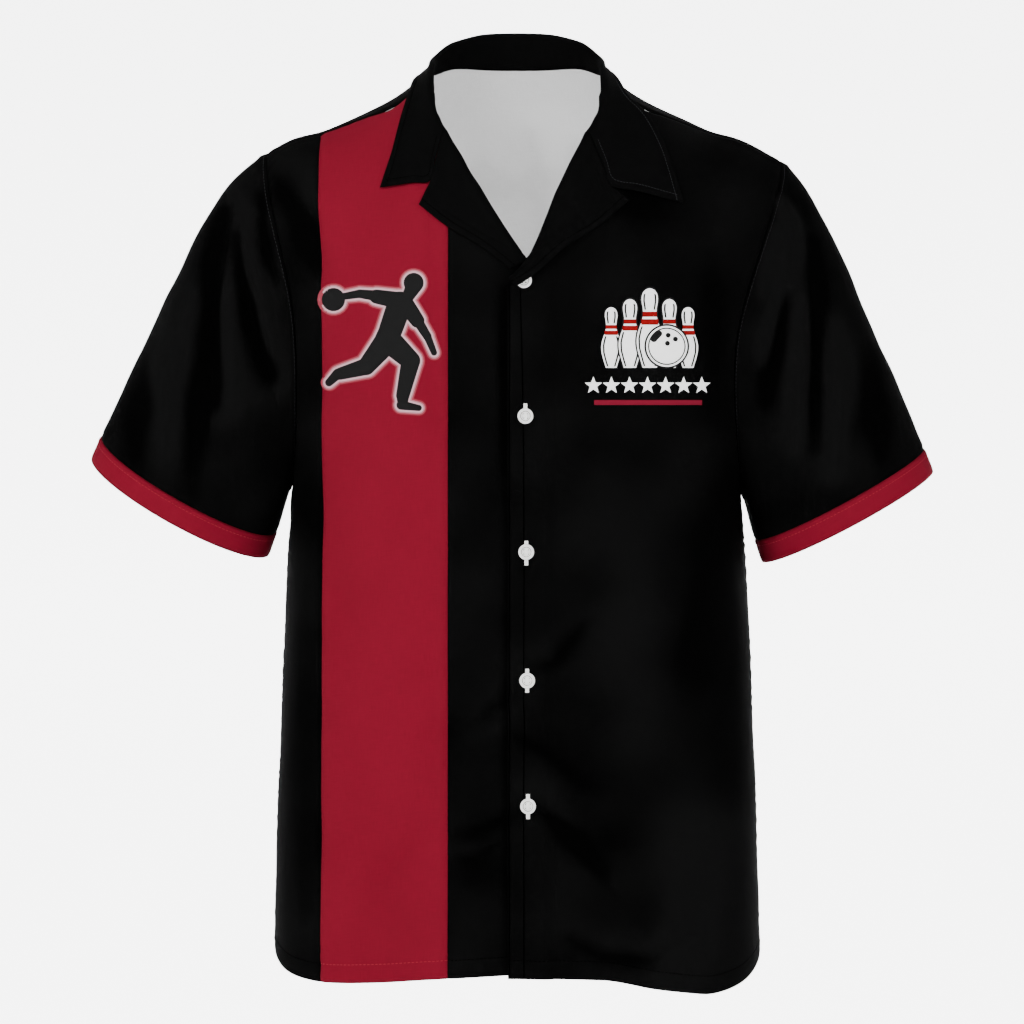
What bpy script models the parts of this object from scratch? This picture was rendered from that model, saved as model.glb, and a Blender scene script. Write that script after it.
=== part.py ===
"""Short-sleeved bowling shirt with an open camp collar, filled out and hollow, as if worn.

Units are metres, +Z is up and the shirt faces -Y, so the wearer's right is at -X.
The origin is the middle of the neck base, between the shoulders, where a wearer holds the shirt up.
Every cloth panel is a wall between two point grids: its own face, and that face moved out along
the cloth's normal. Neighbouring panels share one body form, so their seams run side by side.
"""

import math

import bmesh
import bpy
import numpy as np
from mathutils import Vector

# ---------------------------------------------------------------- driving sizes

CLOTH = 0.0015              # wall of one layer of cloth
SEAM_GAP = 0.0004           # space between two cut pieces at a seam
LAYER_GAP = 0.0006          # space between a piece and what lies on it
SQUARENESS = 2.5            # exponent of the body's rounded-square section
SHOULDER_ARCH = 0.150       # height over which a shoulder rounds down to the full depth

STRIPE_OUTER = 0.1470       # red stripe, outer seam from the middle
STRIPE_LEAN = 0.0045        # how far the outer seam stands out more at the shoulder
OVERLAP_RAMP = 0.0300       # from here to the middle, the left front rises over the right front
ROLL_LEG = 0.0035           # strip of collar or lapel inside the fold, next to the front's edge

HOLLOW_ROWS = 14            # rows of cloth up the armhole, front or back
SKIRT_ROWS = 9              # rows of cloth from the hem to the armhole
BAND_WIDTH = 0.0180         # red band at each sleeve's hem

BUTTON_RADIUS = 0.0060
BUTTON_HEIGHT = 0.0022
BUTTON_HOLE = 0.0008
BUTTON_HOLE_SPACING = 0.0013

RIGHT, LEFT = -1, 1         # the wearer's sides
FRONT, BACK = -1, 1
BACK_HEM = 0                # the back's hem is one edge for both sides

# ---------------------------------------------------------------- tables of sections

# the body below the armholes: height, half width, and depth in front and behind
BODY = (
    # z      half width  front   back
    (-0.690, 0.1880, 0.1320, 0.1270),
    (-0.620, 0.1863, 0.1305, 0.1255),
    (-0.560, 0.1850, 0.1290, 0.1240),
    (-0.490, 0.1822, 0.1272, 0.1222),
    (-0.425, 0.1800, 0.1260, 0.1210),
    (-0.380, 0.1780, 0.1252, 0.1205),
    (-0.340, 0.1755, 0.1245, 0.1203),
    (-0.300, 0.1725, 0.1236, 0.1202),
    (-0.170, 0.1725, 0.1190, 0.1210),
    (-0.100, 0.1725, 0.1130, 0.1200),
    (-0.043, 0.1725, 0.1070, 0.1160),
    (0.060, 0.1725, 0.1000, 0.1110),
)

# the top line of the shoulders: distance from the middle, and height
RIDGE = (
    # |x|    z
    (0.000, 0.0560),
    (0.040, 0.0475),
    (0.058, 0.0310),
    (0.066, 0.0210),
    (0.078, 0.0105),
    (0.091, 0.0025),
    (0.117, -0.0115),
    (0.137, -0.0205),
    (0.152, -0.0265),
    (0.172, -0.0314),
    (0.191, -0.0410),
    (0.206, -0.0491),
)

# the shoulder seam lies forward of the top line: distance from the middle, and drop below it
SEAM_DROP = (
    # |x|    drop
    (0.060, 0.0135),
    (0.078, 0.0120),
    (0.105, 0.0095),
    (0.150, 0.0038),
    (0.206, 0.0032),
)

# the armholes: share from top to bottom, and distance from the middle on each side
ARMHOLE = (
    # share  right    left
    (0.00, 0.1930, 0.2045),
    (0.06, 0.1923, 0.2025),
    (0.14, 0.1892, 0.1970),
    (0.24, 0.1837, 0.1890),
    (0.37, 0.1757, 0.1777),
    (0.50, 0.1700, 0.1688),
    (0.65, 0.1675, 0.1645),
    (0.85, 0.1680, 0.1672),
    (1.00, 0.1725, 0.1725),
)
ARMHOLE_TOP = {RIGHT: -0.0420, LEFT: -0.0484}
ARMHOLE_FOOT = {RIGHT: -0.2970, LEFT: -0.3040}
ARMHOLE_DEPTH = {FRONT: 0.0560, BACK: 0.0600}

# the hem: share of the half width, and height on the right front, the left front and the back
HEM = (
    # share  right    left     back
    (0.00, -0.6630, -0.6655, -0.6700),
    (0.33, -0.6670, -0.6675, -0.6705),
    (0.56, -0.6710, -0.6760, -0.6715),
    (0.80, -0.6735, -0.6820, -0.6730),
    (0.93, -0.6690, -0.6735, -0.6690),
    (1.00, -0.6585, -0.6610, -0.6600),
)
HEM_COLUMN = {RIGHT: 1, LEFT: 2, BACK_HEM: 3}
HEM_REACH = -0.560          # above this height the rows are level

# the line along which each side of the neck opening folds: distance from the middle, and height
ROLL = {
    RIGHT: (
        # x       z
        (-0.0645, 0.0080),
        (-0.0630, -0.0120),
        (-0.0600, -0.0240),
        (-0.0535, -0.0375),
        (-0.0310, -0.0780),
        (0.0065, -0.1340),
        (0.0185, -0.1520),
    ),
    LEFT: (
        (0.0645, 0.0080),
        (0.0630, -0.0120),
        (0.0590, -0.0260),
        (0.0525, -0.0380),
        (0.0300, -0.0850),
        (0.0065, -0.1340),
        (-0.0062, -0.1515),
    ),
}

# the sleeves: how far the outer line bulges over a straight one, and the hem's corners
SLEEVE_BULGE = (
    # share  bulge
    (0.00, 0.0000),
    (0.08, 0.0085),
    (0.18, 0.0142),
    (0.30, 0.0150),
    (0.42, 0.0120),
    (0.55, 0.0098),
    (0.70, 0.0070),
    (0.85, 0.0036),
    (1.00, 0.0000),
)
SLEEVE = {
    # outer corner (x, z), inner corner (x, z), share of the bulge, how far the front hem dips
    RIGHT: {"outer": (0.3330, -0.2790), "inner": (0.1930, -0.3535), "bulge": 1.0, "dip": 0.0150},
    LEFT: {"outer": (0.3256, -0.2890), "inner": (0.1908, -0.3595), "bulge": 0.62, "dip": 0.0070},
}
CUFF_DEPTH = 0.0520
CUFF_BACKWARD = 0.0060
SLEEVE_RINGS = 11

# the largest folds: piece, height and place of both ends, half width, and depth (down is a minus)
FOLDS = (
    # piece          x1       z1       x2       z2      half width  depth
    ("sleeve_right", -0.2230, -0.1000, -0.2310, -0.2360, 0.0140, -0.0045),
    ("sleeve_right", -0.2090, -0.1180, -0.1870, -0.2180, 0.0100, -0.0035),
    ("sleeve_right", -0.2010, -0.1000, -0.1860, -0.1900, 0.0100, 0.0030),
    ("sleeve_right", -0.2600, -0.1600, -0.2660, -0.2700, 0.0200, 0.0030),
    ("sleeve_left", 0.2080, -0.0980, 0.1880, -0.2030, 0.0110, 0.0035),
    ("sleeve_left", 0.2210, -0.1100, 0.2120, -0.2500, 0.0140, -0.0035),
    ("sleeve_left", 0.2420, -0.1700, 0.2480, -0.2800, 0.0160, 0.0030),
    ("body_front", -0.1780, -0.0750, -0.1480, -0.1360, 0.0130, -0.0030),
    ("body_front", 0.0420, -0.5400, 0.0680, -0.5900, 0.0140, -0.0025),
    ("body_front", 0.1180, -0.6900, 0.1350, -0.5600, 0.0220, 0.0030),
    ("body_front", -0.1000, -0.6900, -0.0900, -0.5700, 0.0240, -0.0022),
    ("body_back", 0.0600, -0.7000, 0.0480, -0.4200, 0.0260, 0.0045),
    ("body_back", -0.0700, -0.7000, -0.0560, -0.4600, 0.0240, 0.0040),
    ("body_back", -0.0040, -0.7000, 0.0000, -0.5200, 0.0260, -0.0035),
)

# ---------------------------------------------------------------- curves through the tables


def along(table, at, column=1):
    """Value of a column where the first column is at, on a smooth curve through the rows."""
    keys = [row[0] for row in table]
    values = [row[column] for row in table]
    at = min(max(at, keys[0]), keys[-1])
    last = len(keys) - 1
    k = min(max(int(np.searchsorted(keys, at, side="right")) - 1, 0), last - 1)
    steps = [(values[i + 1] - values[i]) / (keys[i + 1] - keys[i]) for i in range(last)]

    def slope(i):
        if i == 0:
            return steps[0]
        if i == last:
            return steps[-1]
        before, after = steps[i - 1], steps[i]
        if before * after <= 0.0:
            return 0.0
        return 2.0 * before * after / (before + after)

    width = keys[k + 1] - keys[k]
    u = (at - keys[k]) / width
    start, end = slope(k) * width, slope(k + 1) * width
    return (
        values[k] * (1 + 2 * u) * (1 - u) ** 2
        + start * u * (1 - u) ** 2
        + values[k + 1] * u * u * (3 - 2 * u)
        + end * u * u * (u - 1)
    )


def smooth(u):
    """Rise from 0 to 1 with level ends."""
    u = min(max(u, 0.0), 1.0)
    return u * u * (3 - 2 * u)


def mix(a, b, share):
    return a + (b - a) * share


def unit(vector):
    return vector / max(float(np.linalg.norm(vector)), 1e-12)


# ---------------------------------------------------------------- the body's form


def ridge(x):
    return along(RIDGE, abs(x))


def seam_height(x):
    """Height of the shoulder seam."""
    return ridge(x) - along(SEAM_DROP, abs(x))


def depth(z, facing):
    return along(BODY, z, 2 if facing == FRONT else 3)


def arch(x, z):
    """Share of the full depth, from none on the shoulder's top line to all below the arch."""
    rise = (z - (ridge(x) - SHOULDER_ARCH)) / SHOULDER_ARCH
    rise = min(max(rise, 0.0), 1.0)
    return math.sqrt(max(1.0 - rise * rise, 0.0))


def armhole_share(z, side):
    top, foot = ARMHOLE_TOP[side], ARMHOLE_FOOT[side]
    return min(max((top - z) / (top - foot), 0.0), 1.0)


def armhole_reach(z, side, facing):
    """How far forward or back the armhole's edge stands at a height."""
    from_middle = abs(2.0 * armhole_share(z, side) - 1.0)
    return ARMHOLE_DEPTH[facing] * math.sqrt(max(1.0 - from_middle**2.3, 0.0))


def armhole_x(z, side):
    return along(ARMHOLE, armhole_share(z, side), 1 if side == RIGHT else 2)


def half_width(z, side, facing):
    """Half width of the section at a height, wide enough to pass through the armhole's edge."""
    foot = ARMHOLE_FOOT[side]
    if z <= foot:
        return along(BODY, z)
    z = min(z, ARMHOLE_TOP[side] - 0.002)
    x = armhole_x(z, side)
    full = depth(z, facing) * arch(x, z)
    share = min(armhole_reach(z, side, facing) / full, 0.97)
    return x / (1.0 - share**SQUARENESS) ** (1.0 / SQUARENESS)


def section(x, z, facing):
    """Share of the depth that the rounded-square section leaves at x."""
    side = RIGHT if x < 0 else LEFT
    share = min(abs(x) / half_width(z, side, facing), 1.0)
    return (1.0 - share**SQUARENESS) ** (1.0 / SQUARENESS)


def body_point(x, z, facing):
    """Point of the cloth's inner face at a place across and a height."""
    y = facing * depth(z, facing) * section(x, z, facing) * arch(x, z)
    return np.array((x, y, z))


def top_point(x, y):
    """Point of the cloth's inner face near the shoulders' top line, at a place in plan."""
    facing = FRONT if y < 0 else BACK
    z = ridge(x)
    for _ in range(12):
        reach = depth(z, facing) * section(x, z, facing)
        sine = min(abs(y) / reach, 0.999)
        z = ridge(x) - SHOULDER_ARCH * (1.0 - math.sqrt(1.0 - sine * sine))
    return np.array((x, y, z))


def body_level(point):
    """Zero on the cloth's inner face, and more outside."""
    x, y, z = point
    facing = FRONT if y < 0 else BACK
    side = RIGHT if x < 0 else LEFT
    share = min(abs(x) / half_width(z, side, facing), 1.2)
    across = 1.0 - share**SQUARENESS
    across = math.copysign(abs(across) ** (2.0 / SQUARENESS), across)
    rise = max((z - (ridge(x) - SHOULDER_ARCH)) / SHOULDER_ARCH, 0.0)
    return (y / depth(z, facing)) ** 2 - across * (1.0 - rise * rise)


def body_normal(point):
    """Direction out of the cloth."""
    step = 0.0008
    slope = np.zeros(3)
    for axis in range(3):
        move = np.zeros(3)
        move[axis] = step
        slope[axis] = body_level(point + move) - body_level(point - move)
    return unit(slope)


def lifted(point, clear):
    """The point, moved out where it would be less than clear outside the cloth's inner face."""
    x, y, z = point
    facing = FRONT if y < 0 else BACK
    foot = ridge(x) - SHOULDER_ARCH
    reach = depth(z, facing) * section(x, z, facing)
    rise = max((z - foot) / SHOULDER_ARCH, 0.0)
    level = math.hypot(y / max(reach, 1e-6), rise)
    short = 1.0 + clear / SHOULDER_ARCH
    if facing == FRONT:
        short = 1.0 + clear / max(reach, 1e-6)
    if level >= short:
        return point
    grow = short / level
    return np.array((x, y * grow, foot + (z - foot) * grow if z > foot else z))


def fold_push(piece, x, z):
    """How far the folds of a piece move the cloth at a place seen from the front."""
    push = 0.0
    for name, x1, z1, x2, z2, half, deep in FOLDS:
        if name != piece:
            continue
        run = np.array((x2 - x1, z2 - z1))
        here = np.array((x - x1, z - z1))
        share = float(here @ run) / float(run @ run)
        off = float(np.linalg.norm(here - run * min(max(share, 0.0), 1.0)))
        push += deep * math.exp(-((off / half) ** 2))
    return push


# ---------------------------------------------------------------- mesh making


def collection(name):
    made = bpy.data.collections.new(name)
    bpy.context.scene.collection.children.link(made)
    return made


def material(name, colour, roughness):
    made = bpy.data.materials.new(name)
    made.use_nodes = True
    made.diffuse_color = (*colour, 1.0)
    shader = made.node_tree.nodes["Principled BSDF"]
    shader.inputs["Base Color"].default_value = (*colour, 1.0)
    shader.inputs["Roughness"].default_value = roughness
    shader.inputs["Metallic"].default_value = 0.0
    return made


def wall(name, near, far, closed, home, finish):
    """Closed solid between two equal grids of points; closed joins each row end to end."""
    near, far = np.asarray(near), np.asarray(far)
    rows, columns = near.shape[:2]
    mesh = bpy.data.meshes.new(name)
    build = bmesh.new()
    inner = [[build.verts.new(p) for p in row] for row in near]
    outer = [[build.verts.new(p) for p in row] for row in far]
    wide = columns if closed else columns - 1
    for i in range(rows - 1):
        for j in range(wide):
            k = (j + 1) % columns
            build.faces.new((outer[i][j], outer[i][k], outer[i + 1][k], outer[i + 1][j]))
            build.faces.new((inner[i][j], inner[i + 1][j], inner[i + 1][k], inner[i][k]))
    for i in (0, rows - 1):
        for j in range(wide):
            k = (j + 1) % columns
            build.faces.new((inner[i][j], inner[i][k], outer[i][k], outer[i][j]))
    if not closed:
        for j in (0, columns - 1):
            for i in range(rows - 1):
                build.faces.new((inner[i][j], inner[i + 1][j], outer[i + 1][j], outer[i][j]))
    bmesh.ops.recalc_face_normals(build, faces=build.faces)
    build.to_mesh(mesh)
    build.free()
    made = bpy.data.objects.new(name, mesh)
    mesh.materials.append(finish)
    home.objects.link(made)
    mesh.shade_smooth()
    mesh.set_sharp_from_angle(angle=math.radians(40))
    return made


def grid_normals(grid, closed, outward):
    """Unit normals of a grid, turned to the side that outward(point) gives."""
    grid = np.asarray(grid)
    rows, columns = grid.shape[:2]
    normals = np.zeros_like(grid)
    for i in range(rows):
        for j in range(columns):
            up = grid[min(i + 1, rows - 1)][j] - grid[max(i - 1, 0)][j]
            if closed:
                across = grid[i][(j + 1) % columns] - grid[i][j - 1]
            else:
                across = grid[i][min(j + 1, columns - 1)] - grid[i][max(j - 1, 0)]
            normal = unit(np.cross(up, across))
            if float(normal @ outward(grid[i][j])) < 0:
                normal = -normal
            normals[i][j] = normal
    return normals


# ---------------------------------------------------------------- fronts and back

# columns of cloth: distance from the middle low down, and at the top edge
RIGHT_STRIPE = ((0.147, 0.1515), (0.132, 0.132), (0.114, 0.110), (0.096, 0.088), (0.080, 0.0680),
                (0.0705, 0.0665), (0.063, 0.0633), (0.0566, 0.0566), (0.0515, 0.0515))
RIGHT_CENTRE = ((0.0515, 0.0515), (0.043, 0.043), (0.034, 0.034), (0.022, 0.022), (0.010, 0.010),
                (-0.0036, -0.0036), (-0.011, -0.011), (-0.018, -0.018))
LEFT_FRONT = ((0.147, 0.1515), (0.132, 0.132), (0.114, 0.110), (0.096, 0.088), (0.080, 0.0680),
              (0.0705, 0.0665), (0.063, 0.0622), (0.0556, 0.0556), (0.044, 0.044),
              (0.0332, 0.0332), (0.024, 0.024), (0.016, 0.016), (0.0096, 0.0096), (0.003, 0.003),
              (-0.0034, -0.0034), (-0.006, -0.006))
ARM_SHARES = (0.0, 0.25, 0.5, 0.75, 1.0)

# the back: distance low down, and where the column ends: across, and forward (None is the seam)
BACK_COLUMNS = (
    # low    x       y
    (0.147, 0.1515, None),
    (0.130, 0.1320, None),
    (0.112, 0.1100, None),
    (0.095, 0.0880, None),
    (0.079, 0.0680, None),
    (0.063, 0.0674, -0.0140),
    (0.047, 0.0650, 0.0140),
    (0.031, 0.0520, 0.0380),
    (0.015, 0.0280, 0.0560),
    (0.000, 0.0000, 0.0620),
)
HEM_MEAN = -0.672
HEM_HALF_WIDTH = 0.1885


def hollow_height(row, side):
    """Height of a row on the armhole's edge; row 0 is its foot and the last its top."""
    share = (1.0 - math.cos(math.pi * row / HOLLOW_ROWS)) / 2.0
    return mix(ARMHOLE_FOOT[side], ARMHOLE_TOP[side], share)


def skirt_height(row, x, foot, edge):
    """Height of a row between the hem and the armhole's foot; the low rows follow the hem."""
    level = mix(HEM_MEAN, foot, row / SKIRT_ROWS)
    share = smooth((HEM_REACH - level) / (HEM_REACH - HEM_MEAN))
    return level + (along(HEM, abs(x) / HEM_HALF_WIDTH, HEM_COLUMN[edge]) - HEM_MEAN) * share


def roll_edge(side):
    """A front's own edge, one leg inside its roll line, from the middle outwards."""
    line = np.array(ROLL[side])
    edge = []
    for k, point in enumerate(line):
        run = unit(line[min(k + 1, len(line) - 1)] - line[max(k - 1, 0)])
        away = np.array((run[1], -run[0])) * -side
        moved = point + away * ROLL_LEG
        edge.append((side * moved[0], moved[1]))
    return sorted(edge)


def front_top(x, side):
    """Height of a front's top edge: the shoulder seam, then the neck opening."""
    edge = roll_edge(side)
    if x >= edge[-1][0]:
        return seam_height(x)
    return float(np.interp(x, [p[0] for p in edge], [p[1] for p in edge]))


def stripe_x(z):
    """Distance of the stripe's outer seam from the middle at a height."""
    return STRIPE_OUTER + STRIPE_LEAN * smooth((z + 0.180) / 0.155)


def overlap_lift(x):
    """How far the left front rises to lie over the right front."""
    return (CLOTH + LAYER_GAP) * smooth((OVERLAP_RAMP - x) / 0.010)


def between(share, outer, inner, side, facing):
    """Place across of a point between two places on the body, spaced by angle."""
    power = SQUARENESS / 2.0
    angles, widths = [], []
    for x, z in (outer, inner):
        wide = half_width(z, side, facing)
        widths.append(wide)
        angles.append(math.acos(min(x / wide, 1.0) ** power))
    angle = mix(angles[0], angles[1], share)
    return mix(widths[0], widths[1], share) * math.cos(angle) ** (1.0 / power)


def front_rows(side, shares, columns):
    """Places (x, z) of a front's points, row by row from the hem up."""
    foot = ARMHOLE_FOOT[side]
    reach = hollow_height(HOLLOW_ROWS - 1, side) - foot
    rows = []
    for row in range(SKIRT_ROWS + HOLLOW_ROWS):
        climb = max(row - SKIRT_ROWS, 0) / (HOLLOW_ROWS - 1)
        height = hollow_height(max(row - SKIRT_ROWS, 0), side)
        rise = (height - foot) / reach
        places = []
        for low, high in columns:
            x = mix(low, high, smooth(climb))
            if low == STRIPE_OUTER and side == RIGHT:
                x = stripe_x(mix(foot, seam_height(high), rise))
            z = mix(foot, front_top(x, side), rise)
            if row < SKIRT_ROWS:
                z = skirt_height(row, x, foot, side)
            places.append((x, z))
        x, z = armhole_x(height, side), height
        if row < SKIRT_ROWS:
            z = skirt_height(row, HEM_HALF_WIDTH, foot, side)
            x = half_width(z, side, FRONT)
        outer, inner = (x, z), places[0]
        arm = [outer] if shares else []
        for share in shares[1:-1]:
            x = between(share, outer, inner, side, FRONT)
            z = mix(outer[1], inner[1], share)
            if row < SKIRT_ROWS:
                z = skirt_height(row, x, foot, side)
            else:
                top = mix(hollow_height(HOLLOW_ROWS - 1, side), front_top(inner[0], side), share)
                z += (seam_height(x) - top) * climb**4
            arm.append((x, z))
        rows.append([(side * x, z) for x, z in (arm + places if shares else places)])
    return rows


def climb_of(x, z):
    """Distance up the cloth from where the shoulder's arch starts; below it is a minus."""
    over = z - (ridge(x) - SHOULDER_ARCH)
    if over <= 0.0:
        return over
    return math.asin(min(over / SHOULDER_ARCH, 1.0)) * SHOULDER_ARCH


def climb_point(x, climb):
    """Point of the back's inner face at a distance up the cloth, over the top line and on."""
    foot = ridge(x) - SHOULDER_ARCH
    if climb <= 0.0:
        return body_point(x, foot + climb, BACK)
    angle = climb / SHOULDER_ARCH
    z = foot + SHOULDER_ARCH * math.sin(angle)
    facing = BACK if angle <= math.pi / 2 else FRONT
    y = facing * abs(math.cos(angle)) * depth(z, facing) * section(x, z, facing)
    return np.array((x, y, z))


def back_end(x, y):
    """Climb at which a column of the back ends, at the shoulder seam or the neckline."""
    full = math.pi * SHOULDER_ARCH
    if y is None:
        return full - climb_of(x, seam_height(x))
    climb = climb_of(x, top_point(x, y)[2])
    return climb if y >= 0 else full - climb


def back_grid():
    """Inner face of the back, row by row from the hem up and over to the shoulder seams."""
    full = math.pi * SHOULDER_ARCH
    rows = []
    for row in range(SKIRT_ROWS + HOLLOW_ROWS + 2):
        halves = {}
        for side in (RIGHT, LEFT):
            foot = ARMHOLE_FOOT[side]
            step = max(row - SKIRT_ROWS, 0)
            over = step > HOLLOW_ROWS
            height = hollow_height(HOLLOW_ROWS - 1 if over else step, side)
            edge_x = armhole_x(height, side)
            edge_climb = climb_of(edge_x, height)
            if over:
                edge_climb = full - edge_climb
            start = climb_of(armhole_x(foot, side), foot)
            last = armhole_x(hollow_height(HOLLOW_ROWS - 1, side), side)
            last_climb = full - climb_of(last, hollow_height(HOLLOW_ROWS - 1, side))
            rise = (edge_climb - start) / (last_climb - start)
            points = []
            for low, high, y in BACK_COLUMNS:
                x = mix(low, high, smooth(step / (HOLLOW_ROWS + 1)))
                end = back_end(high, y)
                if row < SKIRT_ROWS:
                    z = skirt_height(row, x, foot, BACK_HEM)
                    points.append((x, climb_of(x, z)))
                else:
                    points.append((x, mix(climb_of(x, foot), end, rise)))
            inner_x, inner_climb = points[0]
            inner_z = climb_point(inner_x, inner_climb)[2]
            if row < SKIRT_ROWS:
                height = skirt_height(row, HEM_HALF_WIDTH, foot, BACK_HEM)
                edge_x = half_width(height, side, BACK)
                edge_climb = climb_of(edge_x, height)
            facing = FRONT if over else BACK
            arm = [(edge_x, edge_climb)]
            for share in ARM_SHARES[1:-1]:
                x = between(share, (edge_x, height), (inner_x, inner_z), side, facing)
                climb = mix(edge_climb, inner_climb, share)
                if row < SKIRT_ROWS:
                    climb = climb_of(x, skirt_height(row, x, foot, BACK_HEM))
                elif over:
                    climb = back_end(x, None)
                arm.append((x, climb))
            halves[side] = [(side * x, climb) for x, climb in arm + points]
        places = halves[RIGHT] + halves[LEFT][-2::-1]
        rows.append([climb_point(x, climb) for x, climb in places])
    return rows


def pulled_in(grid, sides, ends):
    """The grid with chosen border points moved in by half a seam's gap."""
    grid = np.array(grid)
    half = SEAM_GAP / 2.0
    source = grid.copy()
    for edge, inside in ((0, 1), (-1, -2)):
        if sides[edge]:
            for i in range(len(grid)):
                grid[i][edge] += unit(source[i][inside] - source[i][edge]) * half
        if ends[edge]:
            for j in range(grid.shape[1]):
                grid[edge][j] += unit(source[inside][j] - source[edge][j]) * half
    return grid


def body_wall(name, grid, piece, lift, home, finish):
    """Wall of cloth on the body's form, with its folds and its rise over what lies under it."""
    near, far = [], []
    for row in grid:
        inner, outer = [], []
        for point in row:
            normal = body_normal(point)
            push = fold_push(piece, point[0], point[2]) + lift(point[0])
            inner.append(point + normal * push)
            outer.append(point + normal * (push + CLOTH))
        near.append(inner)
        far.append(outer)
    return wall(name, near, far, False, home, finish)


def no_lift(_x):
    return 0.0


def build_body(home, black, red):
    """The back, the left front, and the three strips of the right front."""
    back = pulled_in(back_grid(), (True, True), (False, True))
    body_wall("back", back, "body_back", no_lift, home, black)
    strips = (
        ("front_left", LEFT, ARM_SHARES, LEFT_FRONT, overlap_lift, black),
        ("front_right_side", RIGHT, ARM_SHARES, RIGHT_STRIPE[:1], no_lift, black),
        ("front_right_stripe", RIGHT, (), RIGHT_STRIPE, no_lift, red),
        ("front_right_centre", RIGHT, (), RIGHT_CENTRE, no_lift, black),
    )
    for name, side, shares, columns, lift, finish in strips:
        rows = front_rows(side, shares, columns)
        grid = [[body_point(x, z, FRONT) for x, z in row] for row in rows]
        grid = pulled_in(grid, (True, True), (False, True))
        body_wall(name, grid, "body_front", lift, home, finish)


# ---------------------------------------------------------------- sleeves and their red bands


def armhole_ring(side):
    """Points of the armhole's edge, from the top down the front and up the back."""
    points = []
    for step in range(2 * HOLLOW_ROWS):
        facing = FRONT if step <= HOLLOW_ROWS else BACK
        row = HOLLOW_ROWS - step if facing == FRONT else step - HOLLOW_ROWS
        z = hollow_height(row, side)
        point = body_point(side * armhole_x(z, side), z, facing)
        if row in (0, HOLLOW_ROWS):
            point[1] = 0.0
        points.append(point)
    return points


def sleeve_grid(side):
    """Inner face of a sleeve: rings from the armhole to the hem."""
    sizes = SLEEVE[side]
    start = []
    ring = armhole_ring(side)
    for step, point in enumerate(ring):
        angle = math.pi * step / HOLLOW_ROWS
        normal = body_normal(point) if step != HOLLOW_ROWS else np.array((side, 0.0, 0.0))
        clear = SEAM_GAP + CLOTH * (abs(normal[0]) + max(-math.cos(angle), 0.0))
        start.append(point + np.array((side * clear, 0.0, 0.0)))
    outer = np.array((side * (sizes["outer"][0] - CLOTH), 0.0, sizes["outer"][1]))
    inner = np.array((side * (sizes["inner"][0] + CLOTH), 0.0, sizes["inner"][1]))
    middle = (outer + inner) / 2.0 + np.array((0.0, CUFF_BACKWARD, 0.0))
    across = (outer - inner) / 2.0
    forward = np.array((0.0, -CUFF_DEPTH, -sizes["dip"]))
    cuff = []
    for step in range(len(ring)):
        angle = math.pi * step / HOLLOW_ROWS
        cuff.append(middle + across * math.cos(angle) + forward * math.sin(angle))
    out = unit(across)
    rings = []
    for k in range(SLEEVE_RINGS + 1):
        row = []
        for step in range(len(ring)):
            angle = math.pi * step / HOLLOW_ROWS
            seam = 1.0 - BAND_WIDTH / float(np.linalg.norm(cuff[step] - start[step]))
            share = seam * k / (SLEEVE_RINGS - 1) if k < SLEEVE_RINGS else 1.0
            point = mix(start[step], cuff[step], share)
            crown = max(math.cos(angle), 0.0) ** 0.7
            point = point + out * along(SLEEVE_BULGE, share) * sizes["bulge"] * crown
            row.append(point)
        rings.append(row)
    return np.array(rings)


def build_sleeve(side, home, black, red):
    """One sleeve, and the red band sewn round its hem."""
    name = "right" if side == RIGHT else "left"
    grid = sleeve_grid(side)
    centres = grid.mean(axis=1)

    def outward(point):
        nearest = min(centres, key=lambda c: float(np.linalg.norm(point - c)))
        return point - nearest

    normals = grid_normals(grid, True, outward)
    near, far = grid.copy(), grid.copy()
    for i in range(len(grid)):
        for j in range(grid.shape[1]):
            push = 0.0
            if normals[i][j][1] < 0:
                ease = smooth(i / 2.0) * -normals[i][j][1]
                push = fold_push("sleeve_" + name, grid[i][j][0], grid[i][j][2]) * ease
            near[i][j] = grid[i][j] + normals[i][j] * push
            far[i][j] = grid[i][j] + normals[i][j] * (push + CLOTH)
    wall("sleeve_" + name, near[:-1], far[:-1], True, home, black)
    band_near, band_far = near[-2:].copy(), far[-2:].copy()
    for rows in (band_near, band_far):
        for j in range(rows.shape[1]):
            rows[0][j] += unit(rows[1][j] - rows[0][j]) * SEAM_GAP
    wall("cuff_band_" + name, band_near, band_far, True, home, red)


# ---------------------------------------------------------------- collar and lapels

# the collar, from the middle of the back to its front end. Behind the shoulder seam the neck and
# the edge are places in plan; on the front the fold and the edge are places seen from the front.
COLLAR_BACK = (
    # neck x, y       fold x, y, z              edge x, y right    edge x, y left     gap
    ((0.0000, 0.0620), (0.0000, 0.0640, 0.0600), (0.0000, 0.0810), (0.0000, 0.0810), 0.0036),
    ((0.0280, 0.0560), (0.0270, 0.0585, 0.0580), (0.0370, 0.0735), (0.0370, 0.0735), 0.0034),
    ((0.0520, 0.0380), (0.0488, 0.0390, 0.0485), (0.0625, 0.0505), (0.0625, 0.0505), 0.0024),
    ((0.0650, 0.0140), (0.0618, 0.0140, 0.0340), (0.0730, 0.0240), (0.0715, 0.0240), 0.0014),
    ((0.0674, -0.0140), (0.0643, -0.0140, 0.0245), (0.0775, -0.0020), (0.0740, -0.0020), 0.0010),
)
COLLAR_FRONT = (
    # fold x, z         edge x, z right    edge x, z left     gap
    ((0.0643, 0.0080), (0.0835, -0.0075), (0.0845, -0.0065), 0.0008),
    ((0.0630, -0.0120), (0.0890, -0.0290), (0.0985, -0.0220), 0.0008),
    ((0.0597, -0.0245), (0.0940, -0.0520), (0.1110, -0.0450), 0.0006),
)
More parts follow.
